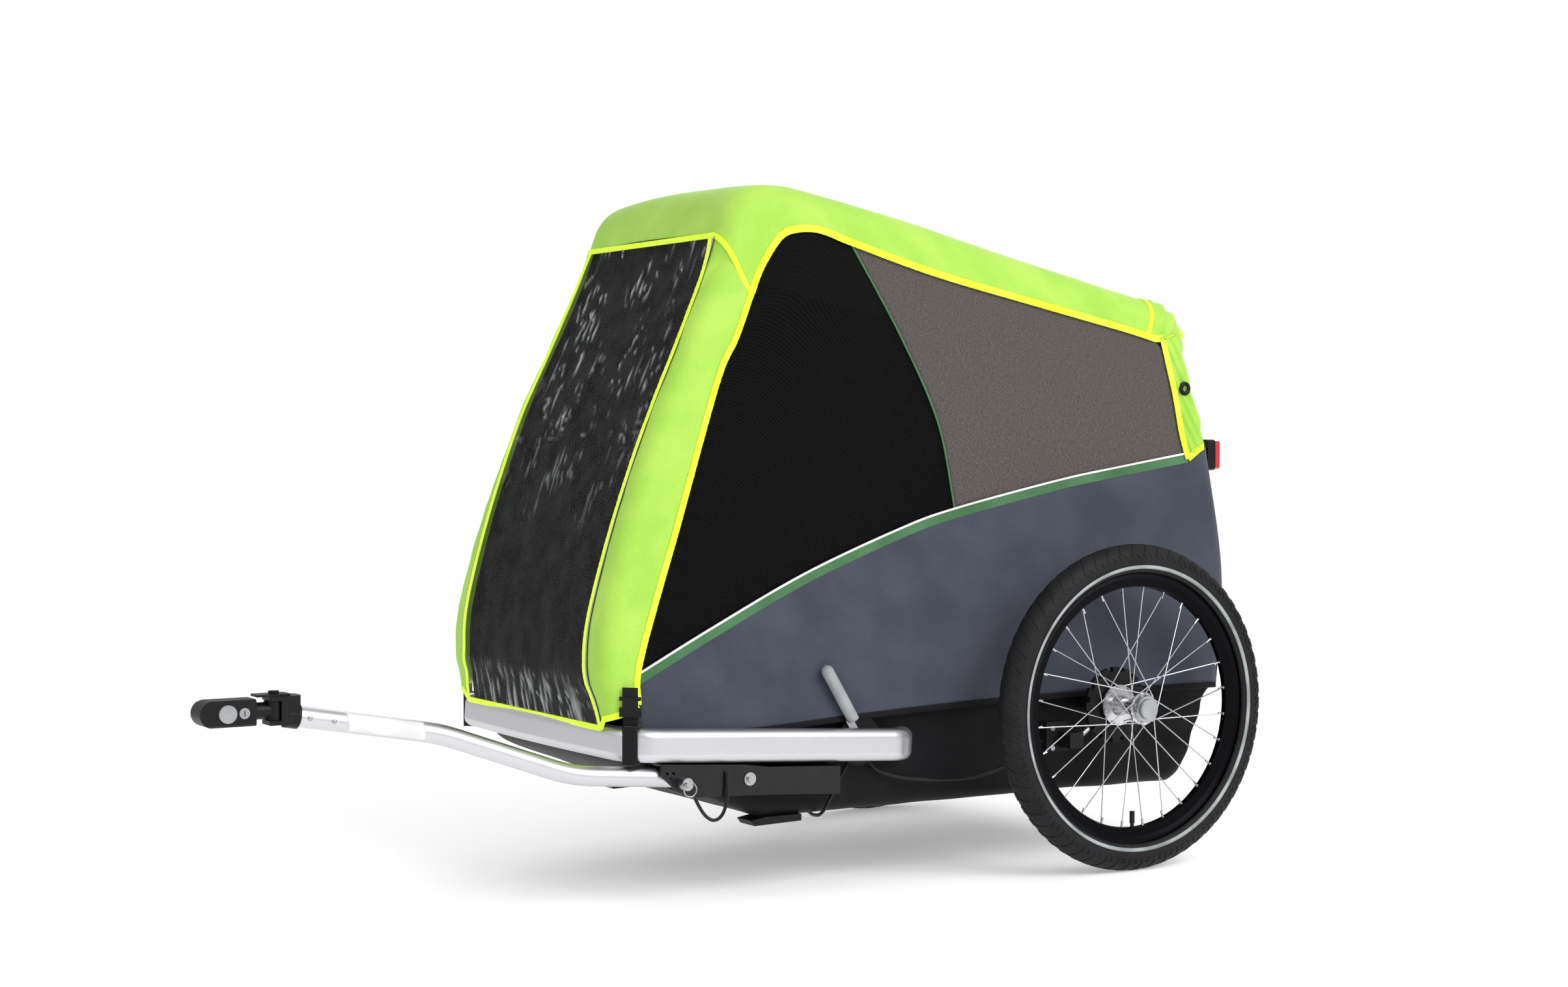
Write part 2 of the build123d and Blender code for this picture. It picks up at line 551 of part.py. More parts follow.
def make_hitch_key():
    """Lock cylinder with a key slot."""
    y = DRAWBAR_Y - HEAD_HALF_Y
    cylinder = disc_y(KEY_AT, KEY_R, y - 1.0, y + 9.5)
    return cylinder - Pos(KEY_AT[0], y, KEY_AT[1]) * Box(1.6, 7, 7)


# ---------------------------------------------------------------- parking brake
def make_brake_drum():
    """Round housing behind the bumper that the lever turns in."""
    drum = disc_y(LEVER_PIVOT, 37.0, -249.0, -256.0)
    return drum - disc_y(LEVER_PIVOT, LEVER_STUB_R + PIN_CLEAR, -252.0, -260.0)


def make_lever():
    """Steel blade with its pivot stub, and the round grip on its end."""
    px, pz = LEVER_PIVOT
    tx, tz = LEVER_TIP
    length = math.hypot(tx - px, tz - pz)
    ux, uz = (tx - px) / length, (tz - pz) / length
    nx, nz = -uz * 6, ux * 6
    far = 46.0
    outline = [(px - nx, pz - nz), (px + nx, pz + nz), (px + ux * far + nx, pz + uz * far + nz),
               (px + ux * far - nx, pz + uz * far - nz)]
    blade = slab(outline, -259.0, -256.4) + disc_y(LEVER_PIVOT, LEVER_STUB_R, -252.2, -256.4)
    blade += disc_y(LEVER_PIVOT, 9.0, -259.0, -256.4)
    y0, y1 = -271.0, -273.0
    tang = rod((px + ux * 43, -258, pz + uz * 43), (px + ux * 43, y0, pz + uz * 43), 5.0)
    blade += tang
    grip = rod((px + ux * 40, y0, pz + uz * 40), (tx, y1, tz), GRIP_R)
    grip += Pos(tx, y1, tz) * Sphere(GRIP_R)
    return blade, grip - blade


def toward_hub(distance):
    """Side-view point on the locking bolt's line, this far from the wheel axle."""
    x, z = LOCK_LINE
    scale = distance / math.hypot(x, z)
    return x * scale, WHEEL_R + z * scale


def make_housing_arm(s, grow=0.0):
    """Arm that carries a brake housing on the side rail."""
    x, z = HOUSING_AT[0], HOUSING_AT[1] - 12
    inner = RAIL_Y + FRAME_R
    reach = HOUSING_Y - 2.5 - inner
    return Pos(x, s * (inner + reach / 2), z) * Box(30 + 2 * grow, reach, 12 + 2 * grow)


def make_brake_housing(side):
    """Small housing ahead of the hub with the guide for its locking bolt."""
    s = SIDES[side]
    x, z = HOUSING_AT
    housing = Pos(x, s * HOUSING_Y, z) * Box(42, 22, 46) + make_housing_arm(s)
    housing += Pos(x + 14, s * (HOUSING_Y + 25), z - 4) * Box(26, 32, 24)
    near, far = toward_hub(60), toward_hub(112)
    bore = BOLT_R + PIN_CLEAR
    return housing - rod((far[0], s * BOLT_Y, far[1]), (near[0], s * BOLT_Y, near[1]), bore)


def make_brake_bolt(side):
    """Round bolt that slides into a notch of the wheel's disc."""
    s = SIDES[side]
    tip, tail = toward_hub(BRAKE_DISC_R + 4), toward_hub(BRAKE_DISC_R + 42)
    return rod((tail[0], s * BOLT_Y, tail[1]), (tip[0], s * BOLT_Y, tip[1]), BOLT_R)


def make_cable(points):
    """Brake cable along its clips: each bend as large as its runs allow."""
    vectors = [Vector(*p) for p in points]
    radii = []
    for a, b, c in zip(vectors, vectors[1:], vectors[2:]):
        turn = math.radians((b - a).get_angle(c - b))
        radii.append(0.45 * min((b - a).length, (c - b).length) / math.tan(turn / 2))
    tube = bent_rod(points, CABLE_R, radii)
    length = FilletPolyline(*points, radius=radii).length
    area = math.pi * CABLE_R ** 2
    print("cable length", round(length), "volume ratio", round(tube.volume / (area * length), 3),
          "tightest radius", round(min(radii)))
    return tube


CABLE_LEFT = [(-409, -252.5, 182), (-396, -253, 168), (-362, -260, 156), (-300, -266, 148),
              (-235, -269, 147), (-185, -273, 156), (-150, -281, 174), (-130, -286, 189),
              (-114.2, 1 - HOUSING_Y, 197)]
CABLE_RIGHT = [(-447, -252.5, 182), (-458, -253, 165), (-476, -254, 137), (-492, -252, 109),
               (-488, -222, 104.5), (-462, -150, 105), (-408, -60, 104), (-338, 40, 105),
               (-272, 130, 104), (-226, 205, 105), (-205, 252, 107), (-184, 270, 134),
               (-158, 280, 165), (-133, 286, 187), (-114.2, HOUSING_Y - 1, 197)]
LANYARD = [(-728, -292, 157), (-719, -291, 141), (-708, -290, 128), (-695, -289, 121.5),
           (-682, -288, 127), (-674, -287, 143), (-671, -286, 165), (-671.5, -285, 189)]


# ---------------------------------------------------------------- small outside pieces
def at_corner(s, out, z):
    """Place a piece on the bumper's front corner, turned to face diagonally outwards."""
    mid_y = BUMPER_HALF - BUMPER_DEEP / 2
    front = BUMPER_FRONT_X + BUMPER_DEEP / 2 + BUMPER_BOW
    reach = (BUMPER_CORNER_R + out) / math.sqrt(2)
    x, y = front + BUMPER_CORNER_R - reach, mid_y - BUMPER_CORNER_R + reach
    return Pos(x, s * y, z) * Rot(0, 0, 45 * s)


def make_corner_straps():
    """Webbing loops from the cabin's front corners round the bumper's corners."""
    straps = []
    z = bumper_z(BUMPER_FRONT_X + 30)
    tall = BUMPER_TALL + 3
    for s in (-1, 1):
        loop = at_corner(s, 0, z) * Box(22, BUMPER_DEEP + 9, tall + 2.4)
        loop -= at_corner(s, 0, z) * Box(40, BUMPER_DEEP + 6, tall)
        tail = at_corner(s, 14, z + tall / 2 + 7.3) * Box(22, 2, 13)
        straps.append(loop + tail)
    return straps


def make_corner_buckles():
    """Side-release buckles joining each corner strap to the cabin cover."""
    buckles = []
    z = bumper_z(BUMPER_FRONT_X + 30) + BUMPER_TALL / 2 + 30
    for s in (-1, 1):
        body = at_corner(s, 17, z) * Box(30, 7, 28)
        body += at_corner(s, 17, z + 20) * Box(22, 3, 14)
        for side in (-1, 1):
            body -= at_corner(s, 17, z + 4) * Pos(side * 13, 0, 0) * Box(5, 10, 10)
        buckles.append(body)
    return buckles


def make_corner_guards():
    """Moulded guards under the tub's front corners."""
    guards = []
    for s in (-1, 1):
        outline = [(-606, 108), (-600, 100), (-520, 102), (-520, FLOOR_Z - 0.2),
                   (TUB_FRONT_X, FLOOR_Z - 0.2)]
        y0, y1 = sorted((s * 200, s * TUB_HALF))
        guards.append(slab(outline, y0, y1))
    return guards


def make_bolts():
    """Screws with washers: drawbar bracket, tube caps and brake housings."""
    bolts = []
    y = DRAWBAR_Y - DRAWBAR_R - BRACKET_GAP
    screw = disc_y(CLAMP_SCREW, 5.0, y - 6, y - 1.6) + disc_y(CLAMP_SCREW, 9.5, y - 1.6, y)
    bolts.append(screw + disc_y(CLAMP_SCREW, 3.9, y, y + 4.5))
    for s in (-1, 1):
        for dz in (-17, 13):
            at = (HOUSING_AT[0] - 11, HOUSING_AT[1] + dz)
            bolts.append(disc_y(at, 4.0, s * (HOUSING_Y + 11), s * (HOUSING_Y + 14)))
    return bolts


def make_lamp():
    """Rear lamp: housing with a bracket, and a red lens on its rear."""
    z = tall([(0, LAMP_Z)])[0][1]
    y = -(half_width(z) - 16)
    housing = Pos(REAR_REACH - 19, y, z) * Box(16, 30, 50)
    housing = fillet(housing.edges().filter_by(Axis.X), 6)
    lens = Pos(REAR_REACH - 5.5, y, z) * Box(11, 26, 46)
    lens = fillet(lens.edges().filter_by(Axis.X), 5)
    return housing, lens


# ---------------------------------------------------------------- build
def main():
    for side in SIDES:
        make_wheel(side)
        make_axle(side)
        save(f"brake_housing_{side}", make_brake_housing(side))
        save(f"brake_bolt_{side}", make_brake_bolt(side))
        save(f"side_wall_{side}", make_side_wall(side))
    save("base_frame", make_base_frame())
    floor = Pos(-187, 0, RAIL_Z + FRAME_R + 2) * Box(730, 2 * SOCKET_Y - 22, 4)
    for s in SIDES.values():
        x, y = BUMPER_REAR_X + 4, s * RAIL_Y
        floor -= rod((x, y, 100), (x, y, 300), FRAME_R + GAP)
    save("floor_panel", floor)
    save("lower_tub", make_lower_tub())
    save("bumper", make_bumper())
    save("front_hinge_plates", *make_front_hinge_plates())
    save("front_hinge_pins", *make_hinge_pins(FRONT_PIVOT, FRONT_HOOP_LOW_Y))
    save("rear_hinge_pins", *make_hinge_pins(REAR_PIVOT, REAR_HOOP_LOW_Y))
    save("front_hoop", make_hoop(FRONT_PIVOT, FRONT_TOP, FRONT_HOOP_LOW_Y, FRONT_HOOP_TOP_Y, 60))
    save("rear_hoop", make_hoop(REAR_PIVOT, REAR_TOP, REAR_HOOP_LOW_Y, REAR_HOOP_TOP_Y, 55))
    save("front_panel", make_front_panel())
    save("rear_panel", make_rear_panel())
    save("rear_lower_panel", make_rear_lower_panel())
    save("roof_panel", make_roof())
    save("drawbar", make_drawbar())
    save("drawbar_bracket", make_bracket())
    save("lock_pin", *make_lock_pin())
    save("hitch_collar", make_hitch_collar())
    save("hitch_neck", make_hitch_neck())
    save("hitch_head", make_hitch_head())
    save("hitch_button", make_hitch_button())
    save("hitch_key", make_hitch_key())
    save("brake_drum", make_brake_drum())
    blade, grip = make_lever()
    save("brake_lever_blade", blade)
    save("brake_lever_grip", grip)
    save("brake_cable_left", make_cable(CABLE_LEFT))
    save("brake_cable_right", make_cable(CABLE_RIGHT))
    save("pin_lanyard", make_cable(LANYARD))
    save("corner_straps", *make_corner_straps())
    save("corner_buckles", *make_corner_buckles())
    save("corner_guards", *make_corner_guards())
    save("bolts", *make_bolts())
    housing, lens = make_lamp()
    save("rear_lamp_housing", housing)
    save("rear_lamp_lens", lens)


main()
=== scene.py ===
# %% [markdown]
# A two-wheeled bicycle trailer for a dog or a load. Its metal frame, wheels and hitch come from the
# CAD model and keep their places. What is made here is the cloth cabin, the tyres, the webbing and
# every finish. All sizes are in millimetres, measured from the middle of the wheel axle on the
# ground, and one function turns them into Blender's metres.

import math

import bmesh
import bpy
import numpy as np
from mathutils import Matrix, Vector, noise


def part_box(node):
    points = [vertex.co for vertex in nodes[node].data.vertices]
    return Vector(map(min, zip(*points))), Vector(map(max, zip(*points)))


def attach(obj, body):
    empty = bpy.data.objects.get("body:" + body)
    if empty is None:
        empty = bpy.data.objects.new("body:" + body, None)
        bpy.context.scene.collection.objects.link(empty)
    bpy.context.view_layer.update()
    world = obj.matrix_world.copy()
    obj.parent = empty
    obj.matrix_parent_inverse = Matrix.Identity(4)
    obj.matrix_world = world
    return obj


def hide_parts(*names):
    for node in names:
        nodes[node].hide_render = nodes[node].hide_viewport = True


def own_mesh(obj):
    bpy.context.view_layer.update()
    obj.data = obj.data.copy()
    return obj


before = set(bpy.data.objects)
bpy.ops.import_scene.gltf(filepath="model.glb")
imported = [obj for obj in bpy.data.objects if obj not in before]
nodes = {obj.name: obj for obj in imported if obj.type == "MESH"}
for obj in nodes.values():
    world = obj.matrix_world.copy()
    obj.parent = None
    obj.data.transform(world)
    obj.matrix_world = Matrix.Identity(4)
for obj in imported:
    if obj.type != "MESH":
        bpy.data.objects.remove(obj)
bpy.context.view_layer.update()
MM = 0.001
SIDES = {"left": -1, "right": 1}
tyre_low, tyre_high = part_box("tyre_left")
AXLE_X = (tyre_low.x + tyre_high.x) / 2
WHEEL_R = (tyre_high.z - tyre_low.z) / 2 / MM


def at(x, y, z):
    """Point in metres from millimetres behind, right of and above the axle's ground point."""
    return Vector((AXLE_X + x * MM, y * MM, z * MM))


# %% [markdown]
# The camera stands low at the front left corner, a little under the roof line, so the roof's top is
# hidden and both the window and the left side show. It has no roll and looks down by about a degree.

# %% Camera
CAMERA_AT = (-2420.6, -3293.8, 669.2)
CAMERA_YAW = 31.496
CAMERA_DOWN = 1.402
LENS_MM = 56.51
camera = bpy.data.objects.new("camera", bpy.data.cameras.new("camera"))
camera.data.lens = LENS_MM
camera.data.sensor_width = 36.0
camera.location = at(*CAMERA_AT)
camera.rotation_euler = (math.radians(90 - CAMERA_DOWN), 0, math.radians(-CAMERA_YAW))
bpy.context.scene.collection.objects.link(camera)
bpy.context.scene.camera = camera
print("camera at", [round(v, 3) for v in camera.location])

# %% [markdown]
# The only free cord is the webbing lanyard that keeps the drawbar's lock pin from getting lost. It
# hangs in a loop from the pin's ring to the bracket.

# %% Curves and the lanyard
def to_mesh(source, name):
    """A plain mesh copy of an object as it looks now, with the source removed."""
    depsgraph = bpy.context.evaluated_depsgraph_get()
    mesh = bpy.data.meshes.new_from_object(source.evaluated_get(depsgraph))
    mesh.name = name
    result = bpy.data.objects.new(name, mesh)
    bpy.context.scene.collection.objects.link(result)
    bpy.data.objects.remove(source)
    return result


def nurbs(name, points, bevel):
    """A smooth curve with these millimetre points as its control points."""
    data = bpy.data.curves.new(name, "CURVE")
    data.dimensions = "3D"
    spline = data.splines.new("NURBS")
    spline.points.add(len(points) - 1)
    for point, place in zip(spline.points, points):
        point.co = (*at(*place), 1)
    spline.order_u = 3
    spline.use_endpoint_u = True
    spline.resolution_u = 8
    data.bevel_depth = bevel * MM
    data.bevel_resolution = 4
    data.use_fill_caps = True
    result = bpy.data.objects.new(name, data)
    bpy.context.scene.collection.objects.link(result)
    return result


LANYARD = [(-728, -292, 157), (-719, -291, 141), (-708, -290, 128), (-695, -289, 121.5),
           (-682, -288, 127), (-674, -287, 143), (-671, -286, 165), (-671.5, -285, 189)]
lanyard = nurbs("pin_lanyard_webbing", LANYARD, bevel=2.5)
print("lanyard has", len(LANYARD), "control points")

# %% [markdown]
# Every finish is built from nodes. One function turns an sRGB hex value to linear light, one adds a
# node with its settings and links, and one starts a material. Pattern scales come from real sizes.

# %% Material helpers
def colour(code):
    """Linear colour from an sRGB hex value."""
    parts = [int(code[i:i + 2], 16) / 255 for i in (1, 3, 5)]
    return (*[c / 12.92 if c <= 0.04045 else ((c + 0.055) / 1.055) ** 2.4 for c in parts], 1)


def add(tree, kind, settings, inputs, out=0):
    """Add one node with its settings and inputs; a socket given as an input is linked."""
    made = tree.nodes.new(kind)
    for name, value in settings.items():
        setattr(made, name, value)
    for name, value in inputs.items():
        if isinstance(value, bpy.types.NodeSocket):
            tree.links.new(value, made.inputs[name])
        else:
            made.inputs[name].default_value = value
    return made.outputs[out]


def start(name, **inputs):
    """A material with one Principled shader, whose sockets are given with _ for a space."""
    made = bpy.data.materials.new(name)
    made.use_nodes = True
    shader = made.node_tree.nodes["Principled BSDF"]
    for key, value in inputs.items():
        shader.inputs[key.replace("_", " ")].default_value = value
    return made, made.node_tree, shader


def calc(tree, operation, *values):
    """A math node on the given numbers and sockets."""
    return add(tree, "ShaderNodeMath", {"operation": operation}, dict(enumerate(values)))


def place_in(tree, space):
    """The piece's own coordinates: UV is its cloth map, Object its own axes, both in metres."""
    return add(tree, "ShaderNodeTexCoord", {}, {}, space)


def noise_at(tree, place, scale, detail):
    """Noise of this scale."""
    return add(tree, "ShaderNodeTexNoise", {}, {"Vector": place, "Scale": scale, "Detail": detail})


def relief_of(tree, strength, depth, height):
    """Bumped normal; a height of one stands depth metres proud."""
    return add(tree, "ShaderNodeBump", {}, {"Strength": strength, "Distance": depth, "Height": height})


def between(tree, value, low, high):
    """A value from 0 to 1 carried to the range from low to high."""
    return add(tree, "ShaderNodeMapRange", {}, {"Value": value, "To Min": low, "To Max": high})


def wave_scale(period_mm):
    """Wave texture scale for one band each period_mm."""
    return 2 * math.pi / (20 * period_mm * MM)


def ramp(tree, factor, low, high, start_at=0.3, end_at=0.7):
    """Colour from low to high as the factor goes from start_at to end_at."""
    share = add(tree, "ShaderNodeMapRange", {"interpolation_type": "SMOOTHSTEP"},
                {"Value": factor, "From Min": start_at, "From Max": end_at})
    return add(tree, "ShaderNodeMix", {"data_type": "RGBA"},
               {0: share, 6: colour(low), 7: colour(high)}, 2)


def wire(tree, shader, **links):
    """Link sockets to the shader's inputs."""
    for key, value in links.items():
        tree.links.new(value, shader.inputs[key.replace("_", " ")])


# %% [markdown]
# The cover is coated polyester, dyed fluorescent. It is woven from fine threads that are too small
# to show, so the weave is drawn at 2 mm. A weak emission adds a painted glow that is as bright in shade
# as in light.

# %% Woven cloths
def woven(name, low, high, pitch, rough, bump, painted_glow=0.0, sheen=0.15):
    """Plain-woven cloth whose two thread directions follow the piece's own UV map."""
    made, tree, shader = start(name, Roughness=rough, Sheen_Weight=sheen, Sheen_Roughness=0.5,
                               Specular_IOR_Level=0.12)
    place = place_in(tree, "UV")
    warp = add(tree, "ShaderNodeTexWave", {"bands_direction": "X"},
               {"Vector": place, "Scale": wave_scale(pitch)}, 1)
    weft = add(tree, "ShaderNodeTexWave", {"bands_direction": "Y"},
               {"Vector": place, "Scale": wave_scale(pitch)}, 1)
    cross = calc(tree, "MULTIPLY", warp, weft)
    cloud = noise_at(tree, place, 9.0, 5.0)
    fleck = noise_at(tree, place, 420.0, 2.0)
    mixed = calc(tree, "MULTIPLY_ADD", fleck, 0.4, cloud)
    tone = ramp(tree, mixed, low, high, 0.5, 0.9)
    relief = relief_of(tree, bump, 0.0006, cross)
    wire(tree, shader, Base_Color=tone, Normal=relief)
    # Painted glow: a weak emission in the cloth's own colour brightens it the same in light and in
    # shade.
    if painted_glow:
        wire(tree, shader, Emission_Color=tone)
        shader.inputs["Emission Strength"].default_value = painted_glow
    return made


# The fluorescent cloth and its binding tape get a painted glow from emission; the tape's is stronger.
NEON = woven("fluorescent_coated_polyester", "#9acb4a", "#aed75a", 2.0, 0.6, 0.25, painted_glow=0.1)
BINDING = woven("fluorescent_woven_binding_tape", "#d2f52a", "#e2fb48", 1.6, 0.7, 0.5, painted_glow=0.28)
SLATE = woven("slate_coated_polyester", "#3b3f4a", "#474b57", 2.2, 0.62, 0.3)
TUB_CLOTH = woven("black_coated_polyester", "#0c0c0f", "#151518", 2.2, 0.5, 0.35, sheen=0.03)
BAND = woven("green_woven_band", "#3f6b45", "#527f57", 1.5, 0.6, 0.5)
WEBBING = woven("black_nylon_webbing", "#0f0f11", "#1c1c1f", 2.4, 0.6, 0.8)
LANYARD_WEBBING = woven("lanyard_nylon_webbing", "#101012", "#1e1e21", 2.0, 0.6, 0.8)
PIPING = woven("white_woven_piping", "#dcdedd", "#f3f4f3", 1.5, 0.55, 0.4)
print("woven cloths", 8)

# %% [markdown]
# The taupe panel is a mélange: light and dark fibres spun together, which run mostly along one
# thread direction. Noise stretched along that direction gives the short streaks.

# %% Melange cloth
def melange(name, low, high):
    """Cloth of mixed fibres with short upright streaks."""
    made, tree, shader = start(name, Roughness=0.85, Sheen_Weight=0.1, Specular_IOR_Level=0.1)
    place = place_in(tree, "UV")
    tall = add(tree, "ShaderNodeMapping", {}, {"Vector": place, "Scale": (900.0, 160.0, 1.0)})
    wide = add(tree, "ShaderNodeMapping", {}, {"Vector": place, "Scale": (220.0, 820.0, 1.0)})
    streaks = noise_at(tree, tall, 1.0, 3.0)
    threads = noise_at(tree, wide, 1.0, 2.0)
    both = calc(tree, "MULTIPLY_ADD", streaks, 0.7, threads)
    relief = relief_of(tree, 0.35, 0.0005, both)
    wire(tree, shader, Base_Color=ramp(tree, both, low, high, 0.65, 1.05), Normal=relief)
    return made


TAUPE = melange("taupe_melange_polyester", "#46413f", "#625c59")

# %% [markdown]
# The mesh is knitted with round holes, which let light through. The real holes are near 1 mm, too
# fine for the render, so they are drawn 3 mm apart or a little more. The film is clear PVC: a smooth
# shell that is nearly invisible except where it mirrors the studio, and whitish where it was creased.

# %% Mesh and clear film
def knitted_mesh(name, pitch, hole, through):
    """Black knitted mesh; hole is the share of the pitch that each opening takes."""
    made, tree, shader = start(name, Roughness=0.7, Specular_IOR_Level=0.08)
    place = place_in(tree, "UV")
    turned = add(tree, "ShaderNodeMapping", {}, {"Vector": place, "Rotation": (0, 0, math.radians(45))})
    cell = add(tree, "ShaderNodeTexVoronoi", {"voronoi_dimensions": "2D"},
               {"Vector": turned, "Scale": 1 / (pitch * MM), "Randomness": 0.0})
    solid = add(tree, "ShaderNodeMapRange", {"interpolation_type": "SMOOTHSTEP"},
                {"Value": cell, "From Min": hole * 0.6, "From Max": hole, "To Min": 1 - through})
    relief = relief_of(tree, 0.5, 0.0006, cell)
    wire(tree, shader, Alpha=solid, Normal=relief,
         Base_Color=ramp(tree, cell, "#030304", "#0c0c0f", 0.2, 0.7))
    return made


def clear_film(name):
    """Clear PVC with whitish creases, read from the crease attribute of the piece."""
    made, tree, shader = start(name, Roughness=0.12, IOR=1.53, Coat_Weight=0.6, Coat_Roughness=0.05)
    crease = add(tree, "ShaderNodeAttribute", {"attribute_name": "crease"}, {}, 2)
    haze = add(tree, "ShaderNodeTexNoise", {}, {"Scale": 14.0, "Detail": 4.0})
    veil = between(tree, haze, 0.0, 0.07)
    alpha = add(tree, "ShaderNodeMath", {"operation": "MULTIPLY_ADD", "use_clamp": True},
                {0: crease, 1: 0.75, 2: veil})
    tone = add(tree, "ShaderNodeMix", {"data_type": "RGBA"},
               {0: crease, 6: colour("#7d8082"), 7: colour("#dfe2e6")}, 2)
    wire(tree, shader, Alpha=alpha, Base_Color=tone)
    return made


SIDE_MESH = knitted_mesh("black_knitted_side_mesh", 3.0, 0.42, 0.3)
WINDOW_MESH = knitted_mesh("black_knitted_window_mesh", 3.4, 0.36, 0.32)
FILM = clear_film("clear_pvc_film")

# %% [markdown]
# Metals keep the default IOR and take their look from metallic, colour and roughness. Anodised
# aluminium is satin with very fine drawing marks; the rims are dyed black; steel is zinc plated.

# %% Metals
def metal(name, tone, rough, grain_mm, depth=0.00004, stretch=(1, 1, 1)):
    """Metal with fine marks whose size is grain_mm."""
    made, tree, shader = start(name, Metallic=1.0)
    place = place_in(tree, "Object")
    drawn = add(tree, "ShaderNodeMapping", {}, {"Vector": place, "Scale": stretch})
    marks = noise_at(tree, drawn, 1 / (grain_mm * MM), 3.0)
    cloud = noise_at(tree, place, 18.0, 3.0)
    gloss = between(tree, cloud, rough - 0.05, rough + 0.07)
    relief = relief_of(tree, 0.3, depth, marks)
    dark = "#%02x%02x%02x" % tuple(int(int(tone[i:i + 2], 16) * 0.93) for i in (1, 3, 5))
    wire(tree, shader, Base_Color=ramp(tree, marks, dark, tone), Roughness=gloss, Normal=relief)
    return made


ANODISED = metal("satin_anodised_aluminium", "#dcdce0", 0.36, 1.2, stretch=(1, 6, 6))
POLISHED = metal("turned_aluminium", "#d4d4d8", 0.22, 1.0)
BLACK_ANODISED = metal("black_anodised_aluminium", "#17171a", 0.34, 1.0)
ZINC = metal("zinc_plated_steel", "#b9babd", 0.3, 1.5)
STAINLESS = metal("drawn_stainless_steel", "#cfcfd2", 0.2, 1.0)

# %% [markdown]
# Plastics and rubber are not metal. Moulded nylon has a fine spark-eroded grain, the tyre is matt
# carbon-black rubber, and powder coat is a thin plastic skin with a soft orange-peel surface.

# %% Plastics, rubber and paint
def plastic(name, low, high, rough, grain_mm, bump=0.25, coat=0.0):
    """Moulded or sprayed plastic with a grain of grain_mm."""
    made, tree, shader = start(name, Coat_Weight=coat, Coat_Roughness=0.1, IOR=1.5,
                               Specular_IOR_Level=0.25)
    place = place_in(tree, "Object")
    grain = noise_at(tree, place, 1 / (grain_mm * MM), 2.0)
    cloud = noise_at(tree, place, 25.0, 4.0)
    gloss = between(tree, cloud, rough - 0.06, rough + 0.08)
    relief = relief_of(tree, bump, 0.0003, grain)
    wire(tree, shader, Base_Color=ramp(tree, cloud, low, high), Roughness=gloss, Normal=relief)
    return made


NYLON = plastic("moulded_black_nylon", "#09090b", "#131316", 0.42, 1.1)
GREY_NYLON = plastic("moulded_grey_nylon", "#8c8f92", "#a5a8ab", 0.45, 1.3)
TYRE_RUBBER = plastic("vulcanised_tyre_rubber", "#0f0f11", "#1a1a1d", 0.62, 1.8, 0.4)
TUBE_RUBBER = plastic("butyl_rubber", "#0e0e10", "#18181a", 0.5, 1.5)
POWDER_COAT = plastic("black_powder_coat", "#08080a", "#121215", 0.38, 2.2, 0.3, coat=0.2)
CABLE_SLEEVE = plastic("black_pvc_cable_sleeve", "#0d0d0f", "#161618", 0.3, 2.5, 0.1)
FLOOR_BOARD = plastic("black_polypropylene_board", "#131315", "#1f1f22", 0.5, 2.0)
LABEL = plastic("white_vinyl_label", "#dedfde", "#eeeeec", 0.4, 3.0, 0.1)
REFLECTIVE = plastic("grey_reflective_tape", "#868b8c", "#a9aeae", 0.35, 0.9, 0.5)


def ribbed_lens(name):
    """Red acrylic with rows of small prisms behind its face."""
    made, tree, shader = start(name, Roughness=0.15, IOR=1.49, Coat_Weight=0.8, Coat_Roughness=0.05)
    place = place_in(tree, "Object")
    cells = add(tree, "ShaderNodeTexVoronoi", {},
                {"Vector": place, "Scale": 1 / (3.2 * MM), "Randomness": 0.05})
    relief = relief_of(tree, 0.6, 0.0006, cells)
    wire(tree, shader, Base_Color=ramp(tree, cells, "#a30a16", "#d3202c"), Normal=relief)
    return made


LENS = ribbed_lens("red_acrylic_lens")
print("materials", len(bpy.data.materials))

# %% [markdown]
# CAD nodes whose shape is right stay as they are and only get a finish.

# %% Finish the CAD nodes
def pairs(*names):
    """Each name once for the left side and once for the right."""
    return [f"{name}_{side}" for name in names for side in SIDES]


FINISHES = {
    ANODISED: ["base_frame", "bumper", "drawbar", "front_hoop", "rear_hoop"],
    POLISHED: pairs("hub"),
    BLACK_ANODISED: pairs("rim"),
    ZINC: [*pairs("axle", "brake_bolt", "hub_bearings"), "bolts", "front_hinge_pins",
           "rear_hinge_pins", "lock_pin", "brake_lever_blade", "hitch_key"],
    STAINLESS: pairs("spokes"),
    NYLON: [*pairs("brake_disc", "brake_housing"), "hitch_collar", "hitch_neck", "hitch_head",
            "brake_drum", "corner_buckles", "corner_guards", "rear_lamp_housing"],
    GREY_NYLON: [*pairs("release_button"), "hitch_button", "brake_lever_grip"],
    TUBE_RUBBER: pairs("inner_tube"),
    TYRE_RUBBER: pairs("tyre"),
    POWDER_COAT: [*pairs("axle_socket"), "front_hinge_plates", "drawbar_bracket"],
    CABLE_SLEEVE: pairs("brake_cable"),
    FLOOR_BOARD: ["floor_panel"],
    LENS: ["rear_lamp_lens"],
    WEBBING: ["corner_straps"],
    LANYARD_WEBBING: ["pin_lanyard"],
    SLATE: [*pairs("side_wall"), "rear_lower_panel"],
    TUB_CLOTH: ["lower_tub"],
    NEON: ["front_panel", "rear_panel", "roof_panel"],
}
for finish, names in FINISHES.items():
    for name in names:
        nodes[name].data.materials.clear()
        nodes[name].data.materials.append(finish)
print("finished nodes", sum(len(names) for names in FINISHES.values()), "of", len(nodes))
lanyard.data.materials.append(LANYARD_WEBBING)
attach(lanyard, "frame")
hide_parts("pin_lanyard")

# %% [markdown]
# The cabin's side walls lean inwards by 3 degrees. Each cloth panel is a grid of points between four
# boundary lines drawn in side view, so that it follows its seams exactly and has even quads. The
# grid gets a UV map in metres, which the weave follows, and a thin wall from Solidify.

